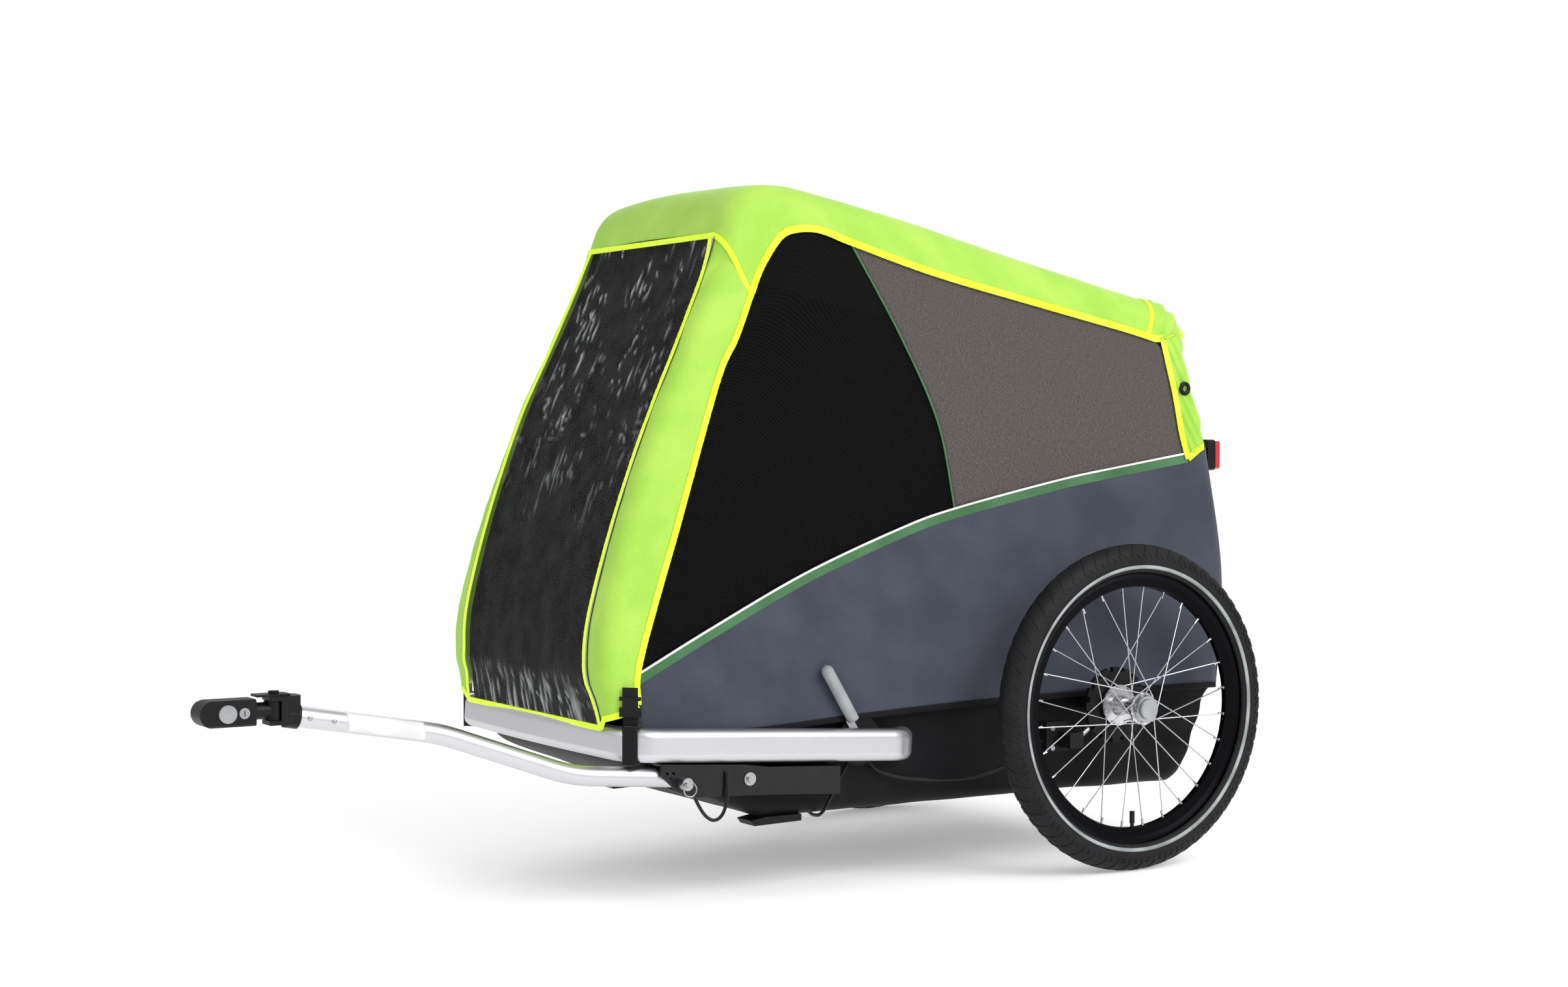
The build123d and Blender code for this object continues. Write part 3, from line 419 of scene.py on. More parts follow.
# %% Sheets from grids of points
def side_y(z):
    """Half width of the cabin at height z."""
    return 262.0 - (z - 250.0) * 40.0 / 750.0


def through(points, count):
    """Smooth line through the points, as count + 1 evenly spaced points."""
    p = np.array(points, float)
    if len(p) > 2:
        ends = np.vstack([2 * p[0] - p[1], p, 2 * p[-1] - p[-2]])
        dense = []
        for a, b, c, d in zip(ends, ends[1:], ends[2:], ends[3:]):
            for t in np.arange(0, 1, 0.05):
                dense.append(0.5 * (2 * b + (c - a) * t + (2 * a - 5 * b + 4 * c - d) * t ** 2
                                    + (3 * b - a - 3 * c + d) * t ** 3))
        p = np.vstack([dense, p[-1:]])
    reach = np.concatenate([[0], np.cumsum(np.linalg.norm(np.diff(p, axis=0), axis=1))])
    wanted = np.linspace(0, reach[-1], count + 1)
    return np.stack([np.interp(wanted, reach, p[:, k]) for k in range(p.shape[1])], axis=1)


def patch(bottom, top, left, right, across, up):
    """Grid of points that fills the space between four boundary lines."""
    b, t = through(bottom, across)[:, None], through(top, across)[:, None]
    l, r = through(left, up)[None], through(right, up)[None]
    u = np.linspace(0, 1, across + 1)[:, None, None]
    v = np.linspace(0, 1, up + 1)[None, :, None]
    corners = ((1 - u) * (1 - v) * b[:1] + u * (1 - v) * b[-1:] + (1 - u) * v * t[:1] + u * v * t[-1:])
    return (1 - v) * b + v * t + (1 - u) * l + u * r - corners


def on_side(grid, s, out=0.0):
    """Put a side-view grid of (x, z) on the leaning side wall of side s."""
    y = s * (side_y(grid[..., 1]) + out)
    return np.stack([grid[..., 0], y, grid[..., 1]], axis=-1)


def settle(body, slot, *pieces):
    """Let pieces ride a body; the slot is not used."""
    for piece in pieces:
        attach(piece, body)


CABIN_MIDDLE = (-250.0, 0.0, 520.0)


def normals_of(points, inside):
    """Unit normals of a grid of points, pointing away from the inside point, and their sign."""
    normal = np.cross(np.gradient(points, axis=0), np.gradient(points, axis=1))
    normal /= np.linalg.norm(normal, axis=-1, keepdims=True) + 1e-12
    sign = 1.0 if (normal * (points - np.array(inside))).sum() > 0 else -1.0
    return normal * sign, sign


def sheet(name, points, finish, lift=None, wall=1.2, inside=CABIN_MIDDLE):
    """A cloth piece from a grid of points; lift moves each point out along its normal."""
    points = np.array(points, float)
    normal, sign = normals_of(points, inside)
    if lift is not None:
        points = points + normal * lift[..., None]
    rows, cols = points.shape[:2]
    index = np.arange(rows * cols).reshape(rows, cols)
    a, b, c, d = index[:-1, :-1], index[1:, :-1], index[1:, 1:], index[:-1, 1:]
    loop = (a, b, c, d) if sign > 0 else (a, d, c, b)
    faces = np.stack([part.ravel() for part in loop], axis=1)
    step_u = np.linalg.norm(np.diff(points, axis=0, prepend=points[:1]), axis=-1).cumsum(axis=0)
    step_v = np.linalg.norm(np.diff(points, axis=1, prepend=points[:, :1]), axis=-1).cumsum(axis=1)
    uv = np.stack([step_u, step_v], axis=-1).reshape(-1, 2) * MM
    mesh = bpy.data.meshes.new(name)
    mesh.from_pydata([at(*p) for p in points.reshape(-1, 3)], [], faces.tolist())
    layer = mesh.uv_layers.new(name="cloth")
    corners = np.array([loop.vertex_index for loop in mesh.loops])
    layer.data.foreach_set("uv", uv[corners].astype(np.float32).ravel())
    mesh.polygons.foreach_set("use_smooth", [True] * len(mesh.polygons))
    mesh.materials.append(finish)
    mesh.update()
    piece = bpy.data.objects.new(name, mesh)
    bpy.context.scene.collection.objects.link(piece)
    if wall:
        solid = piece.modifiers.new("wall", "SOLIDIFY")
        solid.thickness = wall * MM
        solid.offset = -1
    return piece


def ripple(points, size, seed=0.0):
    """Smooth random height from -1 to 1 over a grid of points, with bumps about size mm wide."""
    flat = points.reshape(-1, 3) / size
    values = [noise.noise(Vector(p) + Vector((seed, 0, seed))) for p in flat]
    return np.array(values).reshape(points.shape[:2])


def belly(points, depth):
    """Height that swells to depth in the middle of a grid and is zero at its edges."""
    u = np.sin(np.linspace(0, math.pi, points.shape[0]))[:, None]
    v = np.sin(np.linspace(0, math.pi, points.shape[1]))[None, :]
    return depth * (u * v) ** 0.7


# %% [markdown]
# Each side wall is sewn from three cloths: slate below a rising seam, knitted mesh in front of a
# leaning seam, and mélange behind it. Their shared seams are named once and used by both.

# %% Side wall panels
WAIST = [(-803, 331), (-679, 392), (-520, 465), (-353, 526),
         (-250, 555), (-50, 596), (74, 616), (213, 637)]
WAIST_FRONT, WAIST_REAR = WAIST[:5], WAIST[4:]
LEAN_SEAM = [(-250, 555), (-276, 684), (-338, 811), (-425, 952)]
PILLAR_EDGE = [(-803, 290), (-797, 354), (-729, 549), (-661, 744), (-628, 807), (-600, 872)]
SHOULDER = [(-600, 872), (-582, 911), (-550, 954), (-522, 967), (-479, 968), (-425, 952)]
EAVE = [(-425, 952), (-274, 911), (-99, 874), (86, 836), (148, 822)]
REAR_CURVE = [(148, 822), (173, 793), (190, 728), (201, 668), (213, 637)]
SLATE_FOOT = [(-803, 252), (-637, 242), (-420, 252), (-232, 259), (7, 263), (258, 262)]
REAR_LINE = [(258, 262), (279, 442), (253, 648)]


def side_panel(name, grid, s, finish, depth, folds, seed):
    """One cloth of the side wall, drawn tight with a slight swell and soft folds."""
    points = on_side(grid, s)
    lift = belly(points, depth) + folds * ripple(points, 130, seed) * belly(points, 1.0)
    piece = sheet(name, points, finish, lift)
    settle("frame", "grey_fabric", piece)
    return piece


side_pieces = []
for side, s in SIDES.items():
    slate = patch(SLATE_FOOT, WAIST + [(253, 648)], [SLATE_FOOT[0], WAIST[0]], REAR_LINE, 90, 36)
    mesh_grid = patch(WAIST_FRONT, SHOULDER[1:], [WAIST[0]] + PILLAR_EDGE[1:5] + [SHOULDER[1]],
                      LEAN_SEAM, 50, 60)
    taupe = patch(WAIST_REAR, EAVE, LEAN_SEAM, REAR_CURVE[::-1], 56, 46)
    body = side_panel(f"side_body_cloth_{side}", slate, s, SLATE, 3.0, 2.0, 3.1 * s)
    net = side_panel(f"side_mesh_window_{side}", mesh_grid, s, SIDE_MESH, 1.0, 1.0, 5.2 * s)
    upper = side_panel(f"side_upper_cloth_{side}", taupe, s, TAUPE, 2.0, 1.5, 7.3 * s)
    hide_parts(f"side_wall_{side}")
    side_pieces += [body, net, upper]
print("side panels", len(side_pieces))

# %% [markdown]
# Tapes finish every cut edge. A tape follows a line on the cloth, lies flat on it and is gathered a
# little by its elastic, which shows as small cross puckers. The same function makes piping.

# %% Tapes along the seams
def weld(mesh, reach=1e-6, fill=False):
    """Weld points closer than reach metres, close holes if asked, and face outwards."""
    bm = bmesh.new()
    bm.from_mesh(mesh)
    bmesh.ops.remove_doubles(bm, verts=bm.verts, dist=reach)
    if fill:
        bmesh.ops.holes_fill(bm, edges=[e for e in bm.edges if e.is_boundary])
    bmesh.ops.recalc_face_normals(bm, faces=bm.faces)
    bm.to_mesh(mesh)
    bm.free()


def tape(name, line, normal, finish, width, thick, lift=0.0, gather=0.0, pitch=9.0, step=3.0):
    """Flat band along a line of points; normal is one direction or one for each point."""
    line = np.array(line, float)
    count = max(8, int(np.linalg.norm(np.diff(line, axis=0), axis=1).sum() / step))
    normal = np.broadcast_to(np.array(normal, float), line.shape)
    both = through(np.hstack([line, normal * 10]), count)
    path, up = both[:, :3], both[:, 3:]
    run = np.gradient(path, axis=0)
    run /= np.linalg.norm(run, axis=1, keepdims=True)
    up = up - run * (up * run).sum(axis=1, keepdims=True)
    up /= np.linalg.norm(up, axis=1, keepdims=True)
    across = np.cross(run, up)
    reach = np.concatenate([[0], np.cumsum(np.linalg.norm(np.diff(path, axis=0), axis=1))])
    puckers = [0.6 * math.sin(2 * math.pi * d / pitch) + noise.noise(Vector((d / pitch, 3.3, 0)))
               for d in reach]
    rise = gather * np.array(puckers)[:, None]
    corners = [(math.cos(t), math.sin(t)) for t in np.linspace(0, 2 * math.pi, 13)]
    grid = []
    for c, h in corners:
        half = np.sign(c) * abs(c) ** 0.45 * width / 2
        high = np.sign(h) * abs(h) ** 0.45 * thick / 2 + lift + thick / 2
        grid.append(path + across * half + up * (high + (rise if h > -0.2 else 0)))
    grid = np.array(grid)
    middle = path[len(path) // 2] + up[len(path) // 2] * (lift + thick / 2)
    piece = sheet(name, grid, finish, wall=0, inside=middle)
    weld(piece.data, fill=True)
    return piece


def side_line(points, s, out=0.0):
    """Side-view line laid on the side wall, and the wall's outward direction."""
    p = np.array(points, float)
    return on_side(p[None], s, out)[0], (0.0, s * 1.0, 0.053)


for side, s in SIDES.items():
    lower = [(x, z - 8) for x, z in WAIST]
    line, out = side_line(lower, s)
    made = [tape(f"waist_band_{side}", line, out, BAND, 15, 1.0, 0.3)]
    line, out = side_line(WAIST, s)
    made.append(tape(f"waist_piping_{side}", line, out, PIPING, 3.4, 3.0, 0.2))
    line, out = side_line(LEAN_SEAM, s)
    made.append(tape(f"lean_seam_{side}", line, out, BAND, 3.0, 1.6, 0.2))
    line, out = side_line(SLATE_FOOT, s)
    made.append(tape(f"side_hem_{side}", line, out, TUB_CLOTH, 9.0, 1.6, 0.0))
    settle("frame", "grey_fabric", *made)
    side_pieces += made
print("side pieces", len(side_pieces))

# %% [markdown]
# The roof cover is one sheet that runs over the front hoop, along the roof and round the rear hoop.
# It is lofted: each station is a cross-section from the eave, up the side, round the hoop's
# shoulder and across the top. Behind the rear hoop its elastic gathers it into a ruched cap.

# %% Roof cover
ROOF_TOP = [(-642, 956), (-624, 1002), (-592, 1027), (-540, 1035), (-470, 1026), (-309, 993),
            (-88, 940), (150, 886), (185, 880), (208, 864), (217, 845), (216, 829)]
ROOF_EDGE = SHOULDER[:-1] + EAVE[:-1] + [(148, 822), (175, 822), (196, 824), (208, 825)]
ROOF_COVER_OUT = 3.0
SHOULDER_R = 44.0
CAP_FROM_X = 158.0


def roof_stations(count):
    """Pairs of matching points on the roof's top line and on its lower edge."""
    top = through(ROOF_TOP, 400)
    edge = through(ROOF_EDGE, 400)
    pairs_top = [0, 0.045, 0.09, 0.145, 0.2, 0.4, 0.62, 0.885, 0.93, 0.965, 0.985, 1]
    pairs_edge = [0, 0.04, 0.08, 0.12, 0.19, 0.38, 0.6, 0.905, 0.935, 0.965, 0.985, 1]
    share = np.linspace(0, 1, count + 1)
    pick_t = np.interp(share, np.linspace(0, 1, 12), pairs_top) * 400
    pick_e = np.interp(share, np.linspace(0, 1, 12), pairs_edge) * 400
    base = np.arange(401)
    take = lambda line, pick: np.stack([np.interp(pick, base, line[:, k]) for k in (0, 1)], axis=1)
    return take(top, pick_t), take(edge, pick_e)


def cross_section(top, edge, radius, crown, tuck):
    """Left half of a roof section, from the eave to the middle of the top."""
    rise = max(top[1] - edge[1], 1.0)
    r = min(radius, rise * 0.85)
    shoulder = side_y(top[1] - r) + ROOF_COVER_OUT - tuck
    side = [(side_y(z) + ROOF_COVER_OUT - tuck, z) for z in np.linspace(edge[1], top[1] - r, 9)[:-1]]
    arc = [(shoulder - r + r * math.cos(t), top[1] - r + r * math.sin(t))
           for t in np.linspace(0, math.pi / 2, 11)]
    flat = [(y, top[1] + crown * (1 - (y / (shoulder - r)) ** 2))
            for y in np.linspace(shoulder - r, 0, 15)[1:]]
    line = np.array(side + arc + flat)
    share = np.clip((line[:, 1] - edge[1]) / rise, 0, 1)
    x = edge[0] + (top[0] - edge[0]) * share ** 0.8
    return np.stack([x, -line[:, 0], line[:, 1]], axis=1)


def whole(half):
    """A left half section and its mirror image, as one line from left to right."""
    other = half[::-1][1:] * np.array([1, -1, 1])
    return np.vstack([half, other])


tops, edges = roof_stations(96)
rows = []
for top, edge in zip(tops, edges):
    behind = np.clip((top[0] - CAP_FROM_X) / 58.0, 0, 1)
    rows.append(whole(cross_section(top, edge, SHOULDER_R, 6.0, 10.0 * behind ** 2)))
roof_points = np.array(rows)
along = roof_points[..., 0]
cap = np.clip((along - CAP_FROM_X) / 12.0, 0, 1)
run = np.linspace(0, 1, roof_points.shape[1])[None]
ruched = 2.2 * np.sin(along / 3.4 + 60 * np.abs(run - 0.5)) + 3.0 * ripple(roof_points, 16, 2.0)
slack = 1.4 * ripple(roof_points, 150, 4.0) - 3.0 * np.exp(-((along + 250) / 260) ** 2) * (
    np.abs(roof_points[..., 1]) < 190)
roof_cover = sheet("roof_cover", roof_points, NEON, slack * (1 - cap) + (2.5 + ruched) * cap, wall=1.0)
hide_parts("roof_panel")
settle("frame", "neon_fabric", roof_cover)
squashed = side_pieces + [roof_cover]
print("roof cover points", roof_points.shape[:2])

# %% [markdown]
# The front cover is sewn to the front hoop: two pillars that wrap round the hoop's legs, and a film
# window between them. A pillar's cross-section goes from the window's edge round the leg to the side
# seam, and its last rows turn into the slanting seam that meets the roof.

# %% Front cover pillars
WINDOW_TOP_Z, WINDOW_FOOT_Z = 955.0, 256.0
LEG_R = 26.0
FACE_SHARE, BEND_SHARE = 0.5, 0.28   # of a pillar row: the flat face, then the bend round the leg
BLEND_SHARE = 0.1                   # the top rows that turn into the roof seam
FACE_LINE = through([(-838, 250), (-841, 262), (-848, 298), (-856, 330), (-852, 400), (-826, 500),
                     (-793, 600), (-754, 700), (-707, 800), (-662, 900), (-640, 960)], 120)
WINDOW_HALF = [(250, 223), (280, 219), (300, 212), (340, 204),
               (500, 207), (700, 210), (800, 205), (960, 198)]


def front_x(z):
    """Side-view x of the front face, which bulges forward low down and curls in at its foot."""
    return np.interp(z, FACE_LINE[:, 1], FACE_LINE[:, 0])


def window_y(z):
    """Half width of the window at height z."""
    heights, halves = zip(*WINDOW_HALF)
    return np.interp(z, heights, halves)


def pillar_points(count, across):
    """Grid of the left pillar, from the foot up."""
    zs = WINDOW_FOOT_Z + (WINDOW_TOP_Z - WINDOW_FOOT_Z) * np.linspace(0, 1, count + 1)
    side_seam = through(PILLAR_EDGE, count)
    seam_end = cross_section(np.array(ROOF_TOP[0]), np.array(ROOF_EDGE[0]), SHOULDER_R, 0.0, 0.0)
    seam_end = through(seam_end[seam_end[:, 1] < -181.0][::-1], across)
    grid = []
    for i, z_front in enumerate(zs):
        x_side, z_side = side_seam[i]
        share = np.linspace(0, 1, across + 1)
        z = z_front + (z_side - z_front) * share ** 1.3
        wide = side_y(z) + 3.0
        line = []
        for t, height, y in zip(share, z, wide):
            face = front_x(height)
            start_y = window_y(z_front)
            if t < FACE_SHARE:
                line.append((face, start_y + (y - LEG_R - start_y) * t / FACE_SHARE, height))
            elif t < FACE_SHARE + BEND_SHARE:
                a = (t - FACE_SHARE) / BEND_SHARE * math.pi / 2
                line.append((face + LEG_R * (1 - math.cos(a)), y - LEG_R * (1 - math.sin(a)), height))
            else:
                back = (t - FACE_SHARE - BEND_SHARE) / (1 - FACE_SHARE - BEND_SHARE)
                line.append((face + LEG_R + (x_side - face - LEG_R) * back, y, height))
        row = np.array(line) * np.array([1, -1, 1])
        blend = np.clip((i / count - 1 + BLEND_SHARE) / BLEND_SHARE, 0, 1) ** 2
        grid.append(row * (1 - blend) + seam_end * blend)
    return np.array(grid)


left_pillar = pillar_points(110, 30)
front_pieces = []
for side, s in SIDES.items():
    points = left_pillar * np.array([1, -s, 1])
    lift = 1.5 * ripple(points, 90, 6.0 * s) + 1.2 * ripple(points, 30, 9.0 * s)
    lift *= np.sin(np.linspace(0, math.pi, points.shape[1]))[None] ** 0.5
    pillar = sheet(f"front_pillar_cover_{side}", points, NEON, lift, wall=1.0)
    front_pieces.append(pillar)
print("pillars", len(front_pieces))

# %% [markdown]
# The window is two layers: clear film outside and knitted mesh 8 mm behind it. The film is held
# along its whole edge, so it creases in upright lines below the top seam. The creases are in the
# mesh, and the same values are stored as an attribute that whitens the film along them.

# %% Window film and mesh
def window_grid(out, rows, columns):
    """Grid over the window opening, moved out of the front face by out."""
    grid = []
    for z in np.linspace(WINDOW_FOOT_Z, WINDOW_TOP_Z, rows + 1):
        half = window_y(z)
        grid.append([(front_x(z) - out, y, z) for y in np.linspace(-half, half, columns + 1)])
    return np.array(grid)


film_points = window_grid(1.0, 150, 90)
height = (film_points[..., 2] - WINDOW_FOOT_Z) / (WINDOW_TOP_Z - WINDOW_FOOT_Z)
stretched = film_points * np.array([1 / 40, 1 / 11, 1 / 210])
lines = np.array([noise.noise(Vector(p)) for p in stretched.reshape(-1, 3)]).reshape(height.shape)
slanted = film_points[..., 1] + 0.35 * film_points[..., 2]
level = np.array([noise.noise(Vector((a / 120, b / 16, 7.7)))
                  for a, b in zip(slanted.ravel(), film_points[..., 2].ravel())]).reshape(height.shape)
ridge = np.clip(1 - np.abs(lines) * 13, 0, 1) * np.clip((height - 0.35) / 0.4, 0, 1)
broken = np.clip(ripple(film_points, 60, 11.0) * 3 + 0.45, 0, 1)
folds = np.clip(1 - np.abs(level) * 22, 0, 1) * np.exp(-((height - 0.62) / 0.05) ** 2)
foot_lines = (np.clip(1 - np.abs(np.roll(lines, 17, axis=1)) * 7, 0, 1)
              * np.clip((0.11 - height) / 0.06, 0, 1))
rim = np.sin(np.linspace(0, math.pi, height.shape[1]))[None] ** 0.4
crease = np.clip((ridge * broken + folds * broken + 0.7 * foot_lines) * rim, 0, 1)
film_lift = 3.0 * crease + 3.0 * belly(film_points, 1.0) * ripple(film_points, 120, 3.0)
film = sheet("front_window_film", film_points, FILM, film_lift, wall=0.4)
mark = film.data.attributes.new("crease", "FLOAT", "POINT")
mark.data.foreach_set("value", crease.astype(np.float32).ravel())
screen_points = window_grid(-8.0, 60, 40)
screen = sheet("front_window_mesh", screen_points, WINDOW_MESH,
               2.0 * ripple(screen_points, 140, 8.0), wall=0.6)
front_pieces += [film, screen]
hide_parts("front_panel")
print("film points", film_points.shape[:2], "creased share", round(float((crease > 0.3).mean()), 3))

# %% Front cover tapes
def mirrored(line, s):
    """A left-hand line put on side s."""
    return np.array(line) * np.array([1, -s, 1])


def edging(name, grid, normals, where, s, *look):
    """Binding tape along one line of a grid, put on side s; look is as for tape."""
    return tape(name, mirrored(grid[where], s), mirrored(normals[where], s), BINDING, *look)


def edgings(grid, normals, table):
    """Bindings on both sides; each row of the table has a name, a line of the grid and a look."""
    return [edging(f"{name}_{side}", grid, normals, where, s, *look)
            for side, s in SIDES.items() for name, where, *look in table]


pillar_normals = normals_of(left_pillar, CABIN_MIDDLE)[0]
for side, s in SIDES.items():
    facing = mirrored(pillar_normals[:, 0], s)
    line = mirrored(left_pillar[:, 2:4].mean(axis=1), s)
    front_pieces.append(tape(f"window_reflective_strip_{side}", line, facing, REFLECTIVE, 6.5, 1.0, 0.6))
    front_pieces.append(tape(f"window_strip_backing_{side}", line, facing, TUB_CLOTH, 9.0, 0.8, 0.3))
front_pieces += edgings(left_pillar, pillar_normals, [
    ("window_binding", np.s_[:, 0], 9, 1.8, 0.3, 0.35),
    ("pillar_side_binding", np.s_[:, -1], 10, 1.8, 0.3, 0.6),
    ("pillar_top_seam", -1, 8, 1.6, 0.3, 0.4),
    ("pillar_foot_binding", 0, 9, 1.8, 0.3, 0.5)])
film_normals = normals_of(film_points, CABIN_MIDDLE)[0]
for name, row in (("window_foot_binding", 0), ("window_head_binding", -1)):
    front_pieces.append(edging(name, film_points, film_normals, row, -1, 9, 1.8, 0.3, 0.4))
settle("front_hoop", "neon_fabric", *front_pieces)
print("front cover pieces", len(front_pieces))

# %% [markdown]
# The rear cover closes the cabin behind the rear hoop. Its side edges are elastic, so the corners
# are ruched into slanting folds, and it ends in a point at each side seam. Below it the slate rear
# wall hangs from the hoop, and a fixed slate panel stands on the tub.

# %% Rear cover
REAR_SEAM = [(213, 628), (201, 668), (190, 728), (176, 786), (168, 818)]
REAR_SKIN = [(254, 650), (249, 684), (234, 733), (221, 779), (214, 812), (213, 830)]
CORNER_R = 16.0
RETURN_SHARE, CORNER_SHARE = 0.22, 0.12   # of a rear row: the side return, then the corner


def rear_grid(count, across):
    """Grid of the left half of the rear cover, from its hem up."""
    seam, skin = through(REAR_SEAM, count), through(REAR_SKIN, count)
    grid = []
    for (x_in, z_in), (x_out, z_out) in zip(seam, skin):
        line = []
        for t in np.linspace(0, 1, across + 1):
            z = z_in + (z_out - z_in) * min(t / 0.3, 1)
            y = side_y(z) + 2.5
            back = (t - RETURN_SHARE - CORNER_SHARE) / (1 - RETURN_SHARE - CORNER_SHARE)
            if t < RETURN_SHARE:
                line.append((x_in + (x_out - CORNER_R - x_in) * t / RETURN_SHARE, y, z))
            elif back < 0:
                a = (t - RETURN_SHARE) / CORNER_SHARE * math.pi / 2
                line.append((x_out - CORNER_R * (1 - math.sin(a)), y - CORNER_R * (1 - math.cos(a)), z))
            else:
                line.append((x_out, (y - CORNER_R) * (1 - back), z))
        grid.append(line)
    return np.array(grid) * np.array([1, -1, 1])


rear_half = rear_grid(64, 80)
rear_points = np.concatenate([rear_half, rear_half[:, -2::-1] * np.array([1, -1, 1])], axis=1)
corner_share = np.clip(1.6 - np.abs(np.abs(rear_points[..., 1]) - 245) / 30, 0, 1)
slant = rear_points[..., 2] * 0.55 + rear_points[..., 0] * 1.0
rear_folds = (2.6 * np.sin(slant / 2.6) * corner_share
              + 1.5 * ripple(rear_points, 24, 5.0) * corner_share
              + 1.5 * ripple(rear_points, 110, 1.0))
rear_cover = sheet("rear_cover", rear_points, NEON, rear_folds, wall=1.0, inside=(0, 0, 700))
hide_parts("rear_panel")
rear_normals = normals_of(rear_points, (0, 0, 700))[0]
rear_pieces = [rear_cover, edging("rear_cover_hem", rear_points, rear_normals, 0, -1, 10, 1.8, 0.3, 0.6)]
rear_pieces += edgings(rear_points, rear_normals,
                       [("rear_seam_binding", np.s_[:, 0], 11, 2.0, 0.3, 0.8)])


def rear_wall(name, line, inset):
    """Slate rear wall between the side walls, following a side-view line."""
    points = []
    for x, z in through(line, 30):
        half = side_y(z) - inset
        points.append([(x, y, z) for y in np.linspace(-half, half, 41)])
    points = np.array(points)
    return sheet(name, points, SLATE, 2.0 * ripple(points, 120, 2.0) + belly(points, 2.0),
                 inside=(0, 0, 450))


middle_wall = rear_wall("rear_middle_wall", [(279, 404), (279, 442), (267, 540), (253, 656)], 0.5)
low_wall = rear_wall("rear_lower_wall", [(260, 258), (270, 330), (278, 402)], 0.5)
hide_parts("rear_lower_panel")
rear_pieces.append(middle_wall)
rear_pieces.append(tape("rear_wall_seam", [(280, y, 405) for y in (-250, 0, 250)],
                        (1, 0, 0), TUB_CLOTH, 9, 1.5, 0.2))
for piece in rear_pieces:
    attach(piece, "rear_hoop")
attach(low_wall, "frame")
print("rear pieces", len(rear_pieces) + 1)

# %% Roof edge tapes
roof_normals = normals_of(roof_points, CABIN_MIDDLE)[0]
squashed += edgings(roof_points, roof_normals, [("eave_binding", np.s_[:-8, 0], 11, 2.0, 0.3, 0.9)])
seam_row = int(np.argmin(np.abs(roof_points[:, roof_points.shape[1] // 2, 0] - CAP_FROM_X)))
squashed.append(edging("roof_cap_elastic", roof_points, roof_normals, -1, -1, 11, 2.2, 1.5, 0.9))
squashed.append(edging("roof_cap_seam", roof_points, roof_normals, seam_row, -1, 9, 1.8, 0.3, 0.7))
settle("frame", "neon_fabric", *squashed[-4:])
for piece in squashed:
    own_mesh(piece)
print("squashed with the fold", len(squashed))

# %% [markdown]
# The lower tub is a stiff tray under black cloth. The cloth is a loft of U-shaped sections whose
# bottom follows the ramp at the front, the flat floor and the rise at the rear, with soft folds.

# %% Lower tub cloth
TUB_BOTTOM = [(-812, 250), (-806, 226), (-780, 189), (-690, 153), (-600, 118), (-560, 111), (-300, 110),
              (120, 110), (190, 113), (214, 140), (238, 200), (262, 256)]
TUB_HALF, TUB_TOP_Z, TUB_ROUND = 243.0, 264.0, 20.0


def tub_section(x, z_low):
    """Left half of the tub's section at x, from its top edge to the middle of the floor."""
    r = min(TUB_ROUND, max(2.0, (TUB_TOP_Z - z_low) * 0.5))
    side = [(TUB_HALF, z) for z in np.linspace(TUB_TOP_Z, z_low + r, 15)[:-1]]
    arc = [(TUB_HALF - r + r * math.cos(t), z_low + r - r * math.sin(t))
           for t in np.linspace(0, math.pi / 2, 9)]
    floor = [(y, z_low) for y in np.linspace(TUB_HALF - r, 0, 17)[1:]]
    return np.array([(x, -y, z) for y, z in side + arc + floor])


tub_points = np.array([whole(tub_section(x, z)) for x, z in through(TUB_BOTTOM, 120)])
steep = np.clip((tub_points[..., 0] + 100) / 350, 0, 1)
tub_folds = (1.2 + 3.0 * steep) * ripple(tub_points, 70, 3.0) + 1.5 * np.sin(
    (tub_points[..., 2] + 0.12 * tub_points[..., 0]) / 9) * steep
tub_cover = sheet("lower_tub_cloth", tub_points, TUB_CLOTH, tub_folds, wall=1.2, inside=(-280, 0, 240))
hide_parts("lower_tub")
settle("frame", "black_fabric", tub_cover)
print("tub cloth points", tub_points.shape[:2])

# %% [markdown]
# A wheel is full of things that repeat round its axle: tread blocks, spoke nipples and
# the holes in the hub's flanges. One Geometry Nodes tree sets copies of a small part round a ring.

